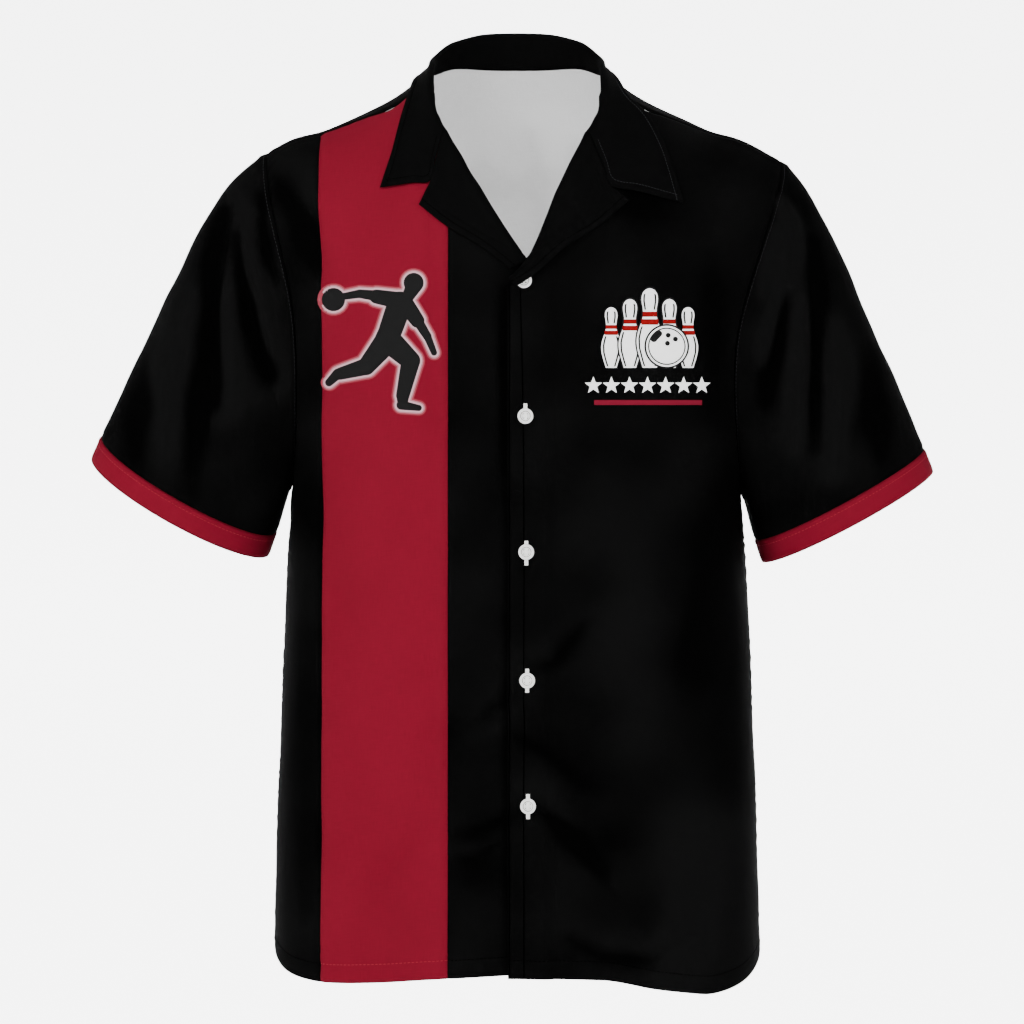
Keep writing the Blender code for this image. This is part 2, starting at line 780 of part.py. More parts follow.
# the collar's end: fold x, z, notch x, z, point x, z
COLLAR_END = {
    RIGHT: ((0.0545, -0.0355), (0.0650, -0.0750), (0.1025, -0.0800)),
    LEFT: ((0.0530, -0.0370), (0.0700, -0.0785), (0.1245, -0.0915)),
}
COLLAR_EASE = 0.0009        # how far the collar and the lapels stand off, over their gap
FALL_SHARES = (0.25, 0.5, 0.75, 1.0)

# the lapels, from the collar's end down the roll line: fold, middle and edge, then the gap
LAPEL = {
    RIGHT: (
        # fold x, z          middle x, z          edge x, z          gap
        ((-0.0539, -0.0361), (-0.0644, -0.0754), (-0.0728, -0.0930), 0.0006),
        ((-0.0420, -0.0585), (-0.0535, -0.0840), (-0.0620, -0.1015), 0.0006),
        ((-0.0310, -0.0780), (-0.0410, -0.0937), (-0.0509, -0.1094), 0.0006),
        ((-0.0120, -0.1065), (-0.0199, -0.1150), (-0.0277, -0.1235), 0.0006),
        ((0.0040, -0.1303), (-0.0012, -0.1340), (-0.0064, -0.1377), 0.0006),
    ),
    LEFT: (
        ((0.0522, -0.0376), (0.0692, -0.0791), (0.0830, -0.0900), 0.0006),
        ((0.0412, -0.0610), (0.0580, -0.0850), (0.0725, -0.0990), 0.0006),
        ((0.0300, -0.0850), (0.0459, -0.0965), (0.0618, -0.1079), 0.0008),
        ((0.0180, -0.1098), (0.0275, -0.1167), (0.0370, -0.1235), 0.0020),
        ((0.0065, -0.1340), (0.0110, -0.1385), (0.0155, -0.1430), 0.0034),
        ((-0.0050, -0.1500), (-0.0035, -0.1515), (-0.0008, -0.1540), 0.0034),
    ),
}


def roll_path(neck, fold, middle, edge, gap, tangent, lift):
    """Inner and outer lines of a folded strip: its leg, its fold and its fall."""
    over = unit(fold - neck)
    out = unit(np.cross(tangent, over))
    radial = np.array((fold[0], fold[1], 0.0))
    if float(out @ radial) < 0:
        out = -out
    first, second = CLOTH, CLOTH + gap
    near = [neck + out * first, fold - over * 0.0006 + out * first]
    far = [neck, fold + over * 0.0009]
    near.append(fold - over * 0.0006 + out * second)
    far.append(fold + over * 0.0009 + out * (second + CLOTH))
    for share in FALL_SHARES:
        start = fold + out * second
        if share <= 0.5:
            point = mix(start, middle, share * 2.0)
        else:
            point = mix(middle, edge, share * 2.0 - 1.0)
        point = lifted(point, CLOTH + gap + lift + COLLAR_EASE)
        side_out = body_normal(point)
        near.append(point)
        far.append(point + unit(mix(out, side_out, min(share * 2.0, 1.0))) * CLOTH)
    return near, far


def halfway(before, start, end, after):
    """Middle of the smooth curve through four points in a row."""
    return (9.0 * (start + end) - before - after) / 16.0


def doubled(stations):
    """The stations with one more between each two; neck points stay on straight lines."""
    last = len(stations) - 1
    made = [stations[0]]
    for k in range(last):
        four = [stations[min(max(i, 0), last)] for i in (k - 1, k, k + 1, k + 2)]
        middle = [mix(four[1][0], four[2][0], 0.5)]
        middle += [halfway(*(station[i] for station in four)) for i in (1, 2, 3)]
        middle += [mix(four[1][i], four[2][i], 0.5) for i in (4, 5)]
        made += [tuple(middle), stations[k + 1]]
    return made


def strip_wall(name, stations, home, finish):
    """Wall of a folded strip through its stations."""
    stations = doubled(stations)
    folds = [station[1] for station in stations]
    near, far = [], []
    for k, (neck, fold, middle, edge, gap, lift) in enumerate(stations):
        tangent = unit(folds[min(k + 1, len(folds) - 1)] - folds[max(k - 1, 0)])
        line = roll_path(neck, fold, middle, edge, gap, tangent, lift)
        near.append(line[0])
        far.append(line[1])
    return wall(name, near, far, False, home, finish)


def on_front(x, z):
    return body_point(x, z, FRONT)


def leg_start(fold, before, after, side):
    """Where a strip meets its front's edge, one leg inside the fold."""
    run = unit(np.array(after) - np.array(before))
    away = np.array((run[1], -run[0])) * -side
    place = np.array(fold) + away * (ROLL_LEG - SEAM_GAP)
    return on_front(place[0], place[1])


def collar_half(side):
    """Stations of one half of the collar, from the back's middle to its front end."""
    stations = []
    for (nx, ny), (fx, fy, fz), right, left, gap in COLLAR_BACK:
        ex, ey = right if side == RIGHT else left
        neck = top_point(side * nx, ny)
        fold = np.array((side * fx, fy, fz))
        over = unit(fold - neck)
        neck = neck + over * (SEAM_GAP + CLOTH * max(float(body_normal(neck) @ over), 0.0))
        edge = top_point(side * ex, ey)
        stations.append((neck, fold, (fold + edge) / 2.0, edge, gap, 0.0))
    places = [row[0] for row in COLLAR_FRONT] + [COLLAR_END[side][0]]
    places = [(side * x, z) for x, z in places]
    for k, ((fx, fz), right, left, gap) in enumerate(COLLAR_FRONT):
        ex, ez = right if side == RIGHT else left
        fold = on_front(side * fx, fz)
        edge = on_front(side * ex, ez)
        neck = leg_start(places[k], places[max(k - 1, 0)], places[k + 1], side)
        stations.append((neck, fold, (fold + edge) / 2.0, edge, gap, 0.0))
    end, notch, point = ((side * x, z) for x, z in COLLAR_END[side])
    neck = leg_start(end, places[-2], end, side)
    stations.append((neck, on_front(*end), on_front(*notch), on_front(*point), 0.0006, 0.0))
    return stations


def build_collar(home, finish):
    right, left = collar_half(RIGHT), collar_half(LEFT)
    strip_wall("collar", right[::-1] + left[1:], home, finish)


def build_lapel(side, home, finish):
    """The part of a front that is turned back over it, from the collar down."""
    rows = LAPEL[side]
    stations = []
    for k, (fold, middle, edge, gap) in enumerate(rows):
        before, after = rows[max(k - 1, 0)][0], rows[min(k + 1, len(rows) - 1)][0]
        points = [leg_start(fold, before, after, side)]
        points += [on_front(*place) for place in (fold, middle, edge)]
        if side == LEFT:
            points = [p + body_normal(p) * overlap_lift(p[0]) for p in points]
        lift = overlap_lift(fold[0]) if side == LEFT else 0.0
        stations.append((*points, gap, lift))
    name = "lapel_right" if side == RIGHT else "lapel_left"
    strip_wall(name, stations, home, finish)


# ---------------------------------------------------------------- buttons

BUTTONS = (
    # x      z
    (0.0050, -0.1500),
    (0.0060, -0.2505),
    (0.0066, -0.3511),
    (0.0073, -0.4461),
    (0.0079, -0.5389),
)
# half outline of a button, from the middle of its face to the middle of its underside
BUTTON_PROFILE = (
    # radius, height
    (0.0000, 0.55),
    (0.0036, 0.60),
    (0.0044, 0.95),
    (0.0053, 1.00),
    (0.0060, 0.70),
    (0.0058, 0.30),
    (0.0048, 0.00),
    (0.0000, 0.00),
)
BUTTON_STEPS = 20


def turned_button(name):
    """Button with a raised rim, turned from its half outline."""
    mesh = bpy.data.meshes.new(name)
    build = bmesh.new()
    verts = [build.verts.new((r, 0.0, h * BUTTON_HEIGHT)) for r, h in BUTTON_PROFILE]
    for a, b in zip(verts, verts[1:]):
        build.edges.new((a, b))
    build.to_mesh(mesh)
    build.free()
    made = bpy.data.objects.new(name, mesh)
    turn = made.modifiers.new("turn", "SCREW")
    turn.axis = "Z"
    turn.steps = BUTTON_STEPS
    turn.render_steps = BUTTON_STEPS
    turn.use_merge_vertices = True
    turn.merge_threshold = 0.00005
    return made


def pin_for(made, k, guides):
    """Cutter for one of a button's four holes."""
    mesh = bpy.data.meshes.new(f"{made.name}_pin_{k}")
    build = bmesh.new()
    bmesh.ops.create_cone(build, cap_ends=True, segments=8, radius1=BUTTON_HOLE,
                          radius2=BUTTON_HOLE, depth=4 * BUTTON_HEIGHT)
    build.to_mesh(mesh)
    build.free()
    pin = bpy.data.objects.new(mesh.name, mesh)
    pin.parent = made
    angle = math.pi / 4 + k * math.pi / 2
    pin.location = (BUTTON_HOLE_SPACING * math.cos(angle), BUTTON_HOLE_SPACING * math.sin(angle), 0)
    pin.hide_render = True
    pin.display_type = "WIRE"
    guides.objects.link(pin)
    return pin


def build_buttons(home, guides, finish):
    """Five buttons on the left front, each with four holes."""
    for number, (x, z) in enumerate(BUTTONS, 1):
        seat = on_front(x, z)
        normal = body_normal(seat)
        push = overlap_lift(x) + fold_push("body_front", x, z) + CLOTH + SEAM_GAP
        made = turned_button(f"button_{number}")
        made.location = seat + normal * push
        made.rotation_euler = Vector(normal).to_track_quat("Z", "Y").to_euler()
        made.data.materials.append(finish)
        home.objects.link(made)
        for k in range(4):
            cut = made.modifiers.new(f"hole_{k + 1}", "BOOLEAN")
            cut.operation = "DIFFERENCE"
            cut.object = pin_for(made, k, guides)


# ---------------------------------------------------------------- the shirt


def main():
    for old in list(bpy.data.objects):
        bpy.data.objects.remove(old, do_unlink=True)
    home = collection("bowling_shirt")
    guides = collection("cutters")
    black = material("black_polyester", (0.004, 0.004, 0.004), 0.85)
    red = material("red_polyester", (0.260, 0.007, 0.018), 0.85)
    white = material("white_button", (0.800, 0.800, 0.800), 0.35)
    build_body(home, black, red)
    for side in (RIGHT, LEFT):
        build_sleeve(side, home, black, red)
    build_collar(home, black)
    for side in (RIGHT, LEFT):
        build_lapel(side, home, black)
    build_buttons(home, guides, white)
    bpy.context.view_layer.update()


main()
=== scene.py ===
"""Looks of a short-sleeved bowling shirt with an open camp collar, filled out and hollow.

Units are metres, +Z is up and the shirt faces -Y, so the wearer's right is at -X. Every cloth piece
is a thin shell on the form of its solid, with its creases pushed in by troughs and ridges, and seams,
hems and prints laid on that surface.
"""

import logging
import math
from collections.abc import Callable, Sequence
from dataclasses import dataclass, field, replace
from enum import Enum

import bmesh
import bpy
import numpy as np
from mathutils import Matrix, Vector
from mathutils.bvhtree import BVHTree
from mathutils.geometry import delaunay_2d_cdt


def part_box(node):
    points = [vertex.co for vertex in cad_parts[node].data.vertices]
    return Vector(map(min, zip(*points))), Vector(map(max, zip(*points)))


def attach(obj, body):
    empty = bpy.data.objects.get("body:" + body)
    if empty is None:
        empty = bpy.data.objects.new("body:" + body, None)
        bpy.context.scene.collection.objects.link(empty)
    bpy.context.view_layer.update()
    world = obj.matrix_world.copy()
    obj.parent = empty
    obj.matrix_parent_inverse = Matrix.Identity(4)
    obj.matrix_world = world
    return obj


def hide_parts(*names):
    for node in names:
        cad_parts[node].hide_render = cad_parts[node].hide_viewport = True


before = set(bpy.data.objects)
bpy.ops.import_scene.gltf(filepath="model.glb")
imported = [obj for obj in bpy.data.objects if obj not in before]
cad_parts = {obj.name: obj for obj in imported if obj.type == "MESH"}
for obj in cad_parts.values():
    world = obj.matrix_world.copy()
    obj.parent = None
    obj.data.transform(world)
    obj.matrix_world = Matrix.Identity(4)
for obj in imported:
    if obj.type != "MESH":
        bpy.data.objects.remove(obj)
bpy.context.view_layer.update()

log = logging.getLogger("bowling_shirt")

# ---------------------------------------------------------------- driving sizes

CLOTH = 0.0015              # wall of the solids, whose outer face the cloth shows
SHELL = 0.0009              # thickness of the cloth that is drawn
SEAM_GAP = 0.0004
LAYER_GAP = 0.0006
SQUARENESS = 2.5
SHOULDER_ARCH = 0.150
STRIPE_OUTER = 0.1470
STRIPE_LEAN = 0.0045
OVERLAP_RAMP = 0.0300
ROLL_LEG = 0.0035
COLLAR_EASE = 0.0009
HOLLOW_ROWS = 14
SKIRT_ROWS = 9
BAND_WIDTH = 0.0180
HEM_REACH = -0.560
HEM_MEAN = -0.672
HEM_HALF_WIDTH = 0.1885
WEAVE_STEP = 0.0031         # spacing of the fine cloth grid

# ---------------------------------------------------------------- tables of sections

# the body: height, half width, and depth in front and behind
BODY = (
    (-0.690, 0.1880, 0.1320, 0.1270),
    (-0.620, 0.1863, 0.1305, 0.1255),
    (-0.560, 0.1850, 0.1290, 0.1240),
    (-0.490, 0.1822, 0.1272, 0.1222),
    (-0.425, 0.1800, 0.1260, 0.1210),
    (-0.380, 0.1780, 0.1252, 0.1205),
    (-0.340, 0.1755, 0.1245, 0.1203),
    (-0.300, 0.1725, 0.1236, 0.1202),
    (-0.170, 0.1725, 0.1190, 0.1210),
    (-0.100, 0.1725, 0.1130, 0.1200),
    (-0.043, 0.1725, 0.1070, 0.1160),
    (0.060, 0.1725, 0.1000, 0.1110),
)
# the top line of the shoulders: distance from the middle, and height
RIDGE = (
    (0.000, 0.0560),
    (0.040, 0.0475),
    (0.058, 0.0310),
    (0.066, 0.0210),
    (0.078, 0.0105),
    (0.091, 0.0025),
    (0.117, -0.0115),
    (0.137, -0.0205),
    (0.152, -0.0265),
    (0.172, -0.0314),
    (0.191, -0.0410),
    (0.206, -0.0491),
)
# the shoulder seam: distance from the middle, and drop below the top line
SEAM_DROP = ((0.060, 0.0135), (0.078, 0.0120), (0.105, 0.0095), (0.150, 0.0038), (0.206, 0.0032))
# the armholes: share from top to bottom, and distance from the middle, right and left
ARMHOLE = (
    (0.00, 0.1930, 0.2045),
    (0.06, 0.1923, 0.2025),
    (0.14, 0.1892, 0.1970),
    (0.24, 0.1837, 0.1890),
    (0.37, 0.1757, 0.1777),
    (0.50, 0.1700, 0.1688),
    (0.65, 0.1675, 0.1645),
    (0.85, 0.1680, 0.1672),
    (1.00, 0.1725, 0.1725),
)
# the hem: share of the half width, and height on the right front, the left front and the back
HEM = (
    (0.00, -0.6630, -0.6655, -0.6700),
    (0.33, -0.6670, -0.6675, -0.6705),
    (0.56, -0.6710, -0.6760, -0.6715),
    (0.80, -0.6735, -0.6820, -0.6730),
    (0.93, -0.6690, -0.6735, -0.6690),
    (1.00, -0.6585, -0.6610, -0.6600),
)
# how far a sleeve's outer line bulges: share along it, and bulge
SLEEVE_BULGE = (
    (0.00, 0.0000),
    (0.08, 0.0085),
    (0.18, 0.0142),
    (0.30, 0.0150),
    (0.42, 0.0120),
    (0.55, 0.0098),
    (0.70, 0.0070),
    (0.85, 0.0036),
    (1.00, 0.0000),
)


class Side(Enum):
    """The wearer's sides; the value is the sign of X."""

    RIGHT = -1
    LEFT = 1


class Facing(Enum):
    """The front and the back; the value is the sign of Y."""

    FRONT = -1
    BACK = 1


class Edge(Enum):
    """A border of a cloth grid."""

    FIRST_ROW = "first_row"
    LAST_ROW = "last_row"
    FIRST_COLUMN = "first_column"
    LAST_COLUMN = "last_column"


RIGHT, LEFT = Side.RIGHT, Side.LEFT
FRONT, BACK = Facing.FRONT, Facing.BACK

ARMHOLE_TOP = {RIGHT: -0.0420, LEFT: -0.0484}
ARMHOLE_FOOT = {RIGHT: -0.2970, LEFT: -0.3040}
ARMHOLE_DEPTH = {FRONT: 0.0560, BACK: 0.0600}
HEM_COLUMN = {RIGHT: 1, LEFT: 2, None: 3}

# the line along which each side of the neck opening folds, from the collar down
ROLL = {
    RIGHT: (
        (-0.0645, 0.0080),
        (-0.0630, -0.0120),
        (-0.0600, -0.0240),
        (-0.0535, -0.0375),
        (-0.0322, -0.0780),
        (0.0046, -0.1340),
        (0.0170, -0.1520),
    ),
    LEFT: (
        (0.0645, 0.0080),
        (0.0630, -0.0120),
        (0.0590, -0.0260),
        (0.0525, -0.0380),
        (0.0312, -0.0850),
        (0.0092, -0.1340),
        (-0.0062, -0.1515),
    ),
}
# columns of cloth: distance from the middle low down, and at the top edge
RIGHT_STRIPE = ((0.147, 0.1515), (0.132, 0.132), (0.114, 0.110), (0.096, 0.088), (0.080, 0.0680),
                (0.0705, 0.0665), (0.063, 0.0633), (0.0566, 0.0566), (0.0515, 0.0515))
RIGHT_CENTRE = ((0.0515, 0.0515), (0.043, 0.043), (0.034, 0.034), (0.022, 0.022), (0.010, 0.010),
                (-0.0036, -0.0036), (-0.011, -0.011), (-0.018, -0.018))
LEFT_FRONT = ((0.147, 0.1515), (0.132, 0.132), (0.114, 0.110), (0.096, 0.088), (0.080, 0.0680),
              (0.0705, 0.0665), (0.063, 0.0622), (0.0556, 0.0556), (0.044, 0.044),
              (0.0332, 0.0332), (0.024, 0.024), (0.016, 0.016), (0.0096, 0.0096), (0.003, 0.003),
              (-0.0034, -0.0034), (-0.006, -0.006))
ARM_SHARES = (0.0, 0.25, 0.5, 0.75, 1.0)
# the back: distance low down, and where the column ends: across, and forward (None is the seam)
BACK_COLUMNS = (
    (0.147, 0.1515, None),
    (0.130, 0.1320, None),
    (0.112, 0.1100, None),
    (0.095, 0.0880, None),
    (0.079, 0.0680, None),
    (0.063, 0.0674, -0.0140),
    (0.047, 0.0650, 0.0140),
    (0.031, 0.0520, 0.0380),
    (0.015, 0.0280, 0.0560),
    (0.000, 0.0000, 0.0620),
)
# the collar behind: neck x, y; fold x, y, z; edge x, y right and left; gap
COLLAR_BACK = (
    ((0.0000, 0.0620), (0.0000, 0.0640, 0.0600), (0.0000, 0.0810), (0.0000, 0.0810), 0.0036),
    ((0.0280, 0.0560), (0.0270, 0.0585, 0.0580), (0.0370, 0.0735), (0.0370, 0.0735), 0.0034),
    ((0.0520, 0.0380), (0.0488, 0.0390, 0.0485), (0.0625, 0.0505), (0.0625, 0.0505), 0.0024),
    ((0.0650, 0.0140), (0.0618, 0.0140, 0.0340), (0.0730, 0.0240), (0.0715, 0.0240), 0.0014),
    ((0.0674, -0.0140), (0.0643, -0.0140, 0.0245), (0.0775, -0.0020), (0.0740, -0.0020), 0.0010),
)
# the collar in front: fold x, z; edge x, z right and left; gap
COLLAR_FRONT = (
    ((0.0643, 0.0080), (0.0835, -0.0075), (0.0845, -0.0065), 0.0008),
    ((0.0630, -0.0120), (0.0890, -0.0290), (0.0985, -0.0220), 0.0008),
    ((0.0597, -0.0245), (0.0940, -0.0520), (0.1110, -0.0450), 0.0006),
)
# the collar's end: fold, notch and point, as x, z
COLLAR_END = {
    RIGHT: ((0.0545, -0.0355), (0.0650, -0.0750), (0.1025, -0.0800)),
    LEFT: ((0.0530, -0.0370), (0.0700, -0.0785), (0.1245, -0.0915)),
}
# the lapels, from the collar's end down the roll line: fold, middle and edge, then the gap
LAPEL = {
    RIGHT: (
        ((-0.0539, -0.0361), (-0.0644, -0.0754), (-0.0728, -0.0930), 0.0006),
        ((-0.0420, -0.0585), (-0.0535, -0.0840), (-0.0620, -0.1015), 0.0006),
        ((-0.0310, -0.0780), (-0.0410, -0.0937), (-0.0509, -0.1094), 0.0006),
        ((-0.0135, -0.1065), (-0.0206, -0.1150), (-0.0277, -0.1235), 0.0006),
        ((0.0056, -0.1352), (0.0000, -0.1378), (-0.0056, -0.1404), 0.0006),
    ),
    LEFT: (
        ((0.0522, -0.0376), (0.0692, -0.0791), (0.0830, -0.0900), 0.0006),
        ((0.0412, -0.0610), (0.0580, -0.0850), (0.0725, -0.0990), 0.0006),
        ((0.0300, -0.0850), (0.0459, -0.0965), (0.0618, -0.1079), 0.0008),
        ((0.0202, -0.1098), (0.0286, -0.1167), (0.0370, -0.1235), 0.0020),
        ((0.0092, -0.1340), (0.0124, -0.1385), (0.0155, -0.1430), 0.0034),
        ((-0.0050, -0.1500), (-0.0035, -0.1515), (-0.0008, -0.1540), 0.0034),
    ),
}
BUTTON_NODES = ("button_1", "button_2", "button_3", "button_4", "button_5")


@dataclass(frozen=True)
class SleeveSizes:
    """Where a sleeve's hem lies, how much of the bulge it has, and how its front dips."""

    outer: tuple[float, float]
    inner: tuple[float, float]
    bulge: float
    dip: float
    hem_depth: float = 0.0520
    backward: float = 0.0060
    rings: int = 14


SLEEVES = {
    RIGHT: SleeveSizes((0.3330, -0.2790), (0.1930, -0.3535), 1.0, 0.0150),
    LEFT: SleeveSizes((0.3256, -0.2890), (0.1908, -0.3595), 0.62, 0.0070),
}


# ---------------------------------------------------------------- creases


@dataclass(frozen=True)
class Crease:
    """A soft trough or ridge pushed into cloth along a bent line, as seen from the front.

    Attributes:
        path: its line, as (x, z) places.
        half: half width of its soft profile.
        depth: how far it moves the cloth out; a trough is a minus.
        lip: share of the depth that rises the other way on the line's left side.
    """

    path: tuple[tuple[float, float], ...]
    half: float
    depth: float
    lip: float = 0.0


FRONT_CREASES = (
    Crease(((-0.1780, -0.0750), (-0.1643, -0.0994), (-0.1569, -0.1142), (-0.1472, -0.1372)),
           0.0100, -0.0034, 0.35),
    Crease(((0.0420, -0.5400), (0.0680, -0.5900)), 0.0140, -0.0016),
    Crease(((0.1180, -0.7000), (0.1260, -0.6200), (0.1350, -0.5600)), 0.0220, 0.0030),
    Crease(((-0.1000, -0.7000), (-0.0900, -0.5700)), 0.0240, -0.0022),
    Crease(((0.0120, -0.4372), (0.0280, -0.4328), (0.0503, -0.4046)), 0.0060, -0.0016, 0.4),
    Crease(((-0.0040, -0.4560), (-0.0277, -0.4766)), 0.0060, -0.0014, 0.4),
    Crease(((-0.0500, -0.4780), (-0.0692, -0.4922)), 0.0110, -0.0013),
    Crease(((-0.0024, -0.4862), (0.0280, -0.5041), (0.0459, -0.5219), (0.0600, -0.5263)),
           0.0070, -0.0015, -0.4),
    Crease(((0.0130, -0.5370), (0.0384, -0.5620), (0.0622, -0.5880)), 0.0065, -0.0022, 0.45),
    Crease(((0.0000, -0.5440), (-0.0277, -0.5583), (-0.0477, -0.5620)), 0.0060, -0.0016, 0.4),
    Crease(((-0.0040, -0.5570), (-0.0314, -0.5798), (-0.0433, -0.5776)), 0.0065, -0.0015, -0.4),
    Crease(((-0.0752, -0.5672), (-0.1049, -0.5991)), 0.0080, -0.0017, 0.35),
    Crease(((0.0399, -0.6377), (0.0637, -0.6511), (0.1015, -0.6556), (0.1216, -0.6377),
            (0.1283, -0.6355)), 0.0060, -0.0015, 0.4),
    Crease(((-0.1650, -0.2900), (-0.1380, -0.3500), (-0.1240, -0.4300)), 0.0170, -0.0020, 0.3),
    Crease(((0.1630, -0.2950), (0.1440, -0.3600), (0.1330, -0.4500)), 0.0180, -0.0022, -0.3),
    Crease(((0.1700, -0.3600), (0.1600, -0.4500), (0.1650, -0.5400)), 0.0130, -0.0016),
    Crease(((-0.1560, -0.4200), (-0.1630, -0.5200), (-0.1560, -0.6200)), 0.0140, -0.0015),
    Crease(((0.1450, -0.1300), (0.1500, -0.1900), (0.1440, -0.2500)), 0.0120, -0.0012),
    Crease(((0.0750, -0.3000), (0.0900, -0.3900), (0.0820, -0.4700)), 0.0240, 0.0013),
    Crease(((-0.0850, -0.2900), (-0.0800, -0.3900), (-0.0920, -0.4900)), 0.0240, 0.0012),
    Crease(((0.1000, -0.0600), (0.0900, -0.1200)), 0.0180, -0.0010),
)
PLACKET_CREASES = (
    Crease(((-0.0090, -0.1560), (-0.0094, -0.1950), (-0.0078, -0.2500), (-0.0086, -0.2900)),
           0.0050, -0.0030),
    Crease(((-0.0078, -0.2900), (-0.0070, -0.3800), (-0.0080, -0.4700), (-0.0068, -0.5600),
            (-0.0076, -0.6700)), 0.0034, -0.0014),
)
BACK_CREASES = (
    Crease(((0.0120, -0.0150), (0.0200, -0.0700), (0.0170, -0.1250)), 0.0080, -0.0014, 0.4),
    Crease(((0.0480, -0.0250), (0.0400, -0.0600), (0.0300, -0.0950)), 0.0060, -0.0016, -0.4),
    Crease(((-0.0300, -0.0200), (-0.0260, -0.0700)), 0.0090, -0.0010, 0.3),
    Crease(((0.0660, -0.0350), (0.0560, -0.0650)), 0.0050, -0.0014, 0.4),
    Crease(((0.0600, -0.7000), (0.0520, -0.5600), (0.0480, -0.4200)), 0.0260, 0.0045),
    Crease(((-0.0700, -0.7000), (-0.0560, -0.4600)), 0.0240, 0.0040),
    Crease(((-0.0040, -0.7000), (0.0000, -0.5200)), 0.0260, -0.0035),
    Crease(((-0.1650, -0.1000), (-0.1300, -0.1700), (-0.1200, -0.2600)), 0.0130, -0.0026, 0.3),
    Crease(((0.1700, -0.1000), (0.1350, -0.1650), (0.1220, -0.2500)), 0.0130, -0.0024, -0.3),
    Crease(((-0.1600, -0.2950), (-0.1250, -0.3600), (-0.1100, -0.4700)), 0.0160, -0.0024, 0.3),
    Crease(((0.1620, -0.3000), (0.1280, -0.3700), (0.1180, -0.4600)), 0.0160, -0.0022, -0.3),
    Crease(((-0.0600, -0.0400), (0.0000, -0.0560), (0.0600, -0.0420)), 0.0120, -0.0014, 0.3),
    Crease(((-0.0300, -0.3300), (-0.0380, -0.4600), (-0.0300, -0.5400)), 0.0150, -0.0018),
    Crease(((0.1000, -0.5200), (0.1120, -0.6100), (0.1080, -0.6800)), 0.0150, -0.0020),
    Crease(((-0.1250, -0.5400), (-0.1180, -0.6200), (-0.1250, -0.6900)), 0.0150, -0.0020),
    Crease(((0.0200, -0.1400), (0.0300, -0.2500), (0.0200, -0.3400)), 0.0200, 0.0012),
)
SLEEVE_CREASES = {
    RIGHT: (
        Crease(((-0.2248, -0.0913), (-0.2325, -0.1318), (-0.2340, -0.1785), (-0.2340, -0.2358)),
               0.0075, -0.0046, 0.40),
        Crease(((-0.2126, -0.1097), (-0.2111, -0.1395), (-0.2019, -0.1785), (-0.1935, -0.2052),
                (-0.1889, -0.2174)), 0.0065, -0.0042, 0.40),
        Crease(((-0.1950, -0.0783), (-0.1950, -0.1097), (-0.1904, -0.1318), (-0.1843, -0.1456)),
               0.0055, -0.0026, 0.35),
        Crease(((-0.2019, -0.0913), (-0.2049, -0.1234), (-0.1965, -0.1548), (-0.1858, -0.1937)),
               0.0060, 0.0020),
        Crease(((-0.2600, -0.1600), (-0.2660, -0.2700)), 0.0160, 0.0026),
        Crease(((-0.2440, -0.1900), (-0.2500, -0.3000)), 0.0110, -0.0020),
        Crease(((-0.2850, -0.2000), (-0.2950, -0.2900)), 0.0110, -0.0014),
    ),
    LEFT: (
        Crease(((0.2017, -0.0844), (0.2086, -0.0967), (0.2063, -0.1181), (0.2017, -0.1494),
                (0.1941, -0.1777), (0.1872, -0.2029)), 0.0065, 0.0034, 0.35),
        Crease(((0.1971, -0.1089), (0.1903, -0.1341), (0.1857, -0.1555)), 0.0050, 0.0022),
        Crease(((0.2155, -0.1100), (0.2165, -0.1700), (0.2150, -0.2664)), 0.0120, 0.0028),
        Crease(((0.2270, -0.1150), (0.2290, -0.1900), (0.2260, -0.2700)), 0.0075, -0.0036),
        Crease(((0.2422, -0.1777), (0.2440, -0.2300), (0.2422, -0.2900)), 0.0110, 0.0026),
        Crease(((0.2050, -0.1300), (0.1990, -0.1900), (0.1900, -0.2350)), 0.0060, -0.0030),
        Crease(((0.2720, -0.2000), (0.2800, -0.2900)), 0.0110, -0.0016),
    ),
}


# ---------------------------------------------------------------- curves and grids


def along(rows: Sequence[tuple], at: float, column: int = 1) -> float:
    """Value of a table's column where its first column is at, on a smooth curve.

    Args:
        rows: the table, with its first column rising.
        at: place along the first column.
        column: the column to read.

    Returns:
        The value, held level beyond the ends.
    """
    keys = [row[0] for row in rows]
    values = [row[column] for row in rows]
    at = min(max(at, keys[0]), keys[-1])
    last = len(keys) - 1
    k = min(max(int(np.searchsorted(keys, at, side="right")) - 1, 0), last - 1)
    steps = [(values[i + 1] - values[i]) / (keys[i + 1] - keys[i]) for i in range(last)]

    def slope(i: int) -> float:
        """Slope of the curve at a point."""
        if i == 0:
            return steps[0]
        if i == last:
            return steps[-1]
        before, after = steps[i - 1], steps[i]
        if before * after <= 0.0:
            return 0.0
        return 2.0 * before * after / (before + after)

    width = keys[k + 1] - keys[k]
    u = (at - keys[k]) / width
    start, end = slope(k) * width, slope(k + 1) * width
    return (
        (2 * u**3 - 3 * u**2 + 1) * values[k]
        + (u**3 - 2 * u**2 + u) * start
        + (3 * u**2 - 2 * u**3) * values[k + 1]
        + (u**3 - u**2) * end
    )


def smooth(u: float | np.ndarray) -> float | np.ndarray:
    """Eased share between 0 and 1, for a number or an array."""
    u = np.clip(u, 0.0, 1.0)
    return u * u * (3.0 - 2.0 * u)


def mix(
    a: float | np.ndarray, b: float | np.ndarray, share: float | np.ndarray
) -> float | np.ndarray:
    """Value at a share of the way from a to b."""
    return a + (b - a) * share


def unit(vector: np.ndarray) -> np.ndarray:
    """The vector, or each vector of an array, at length one."""
    length = np.linalg.norm(vector, axis=-1, keepdims=True)
    return vector / np.maximum(length, 1e-12)


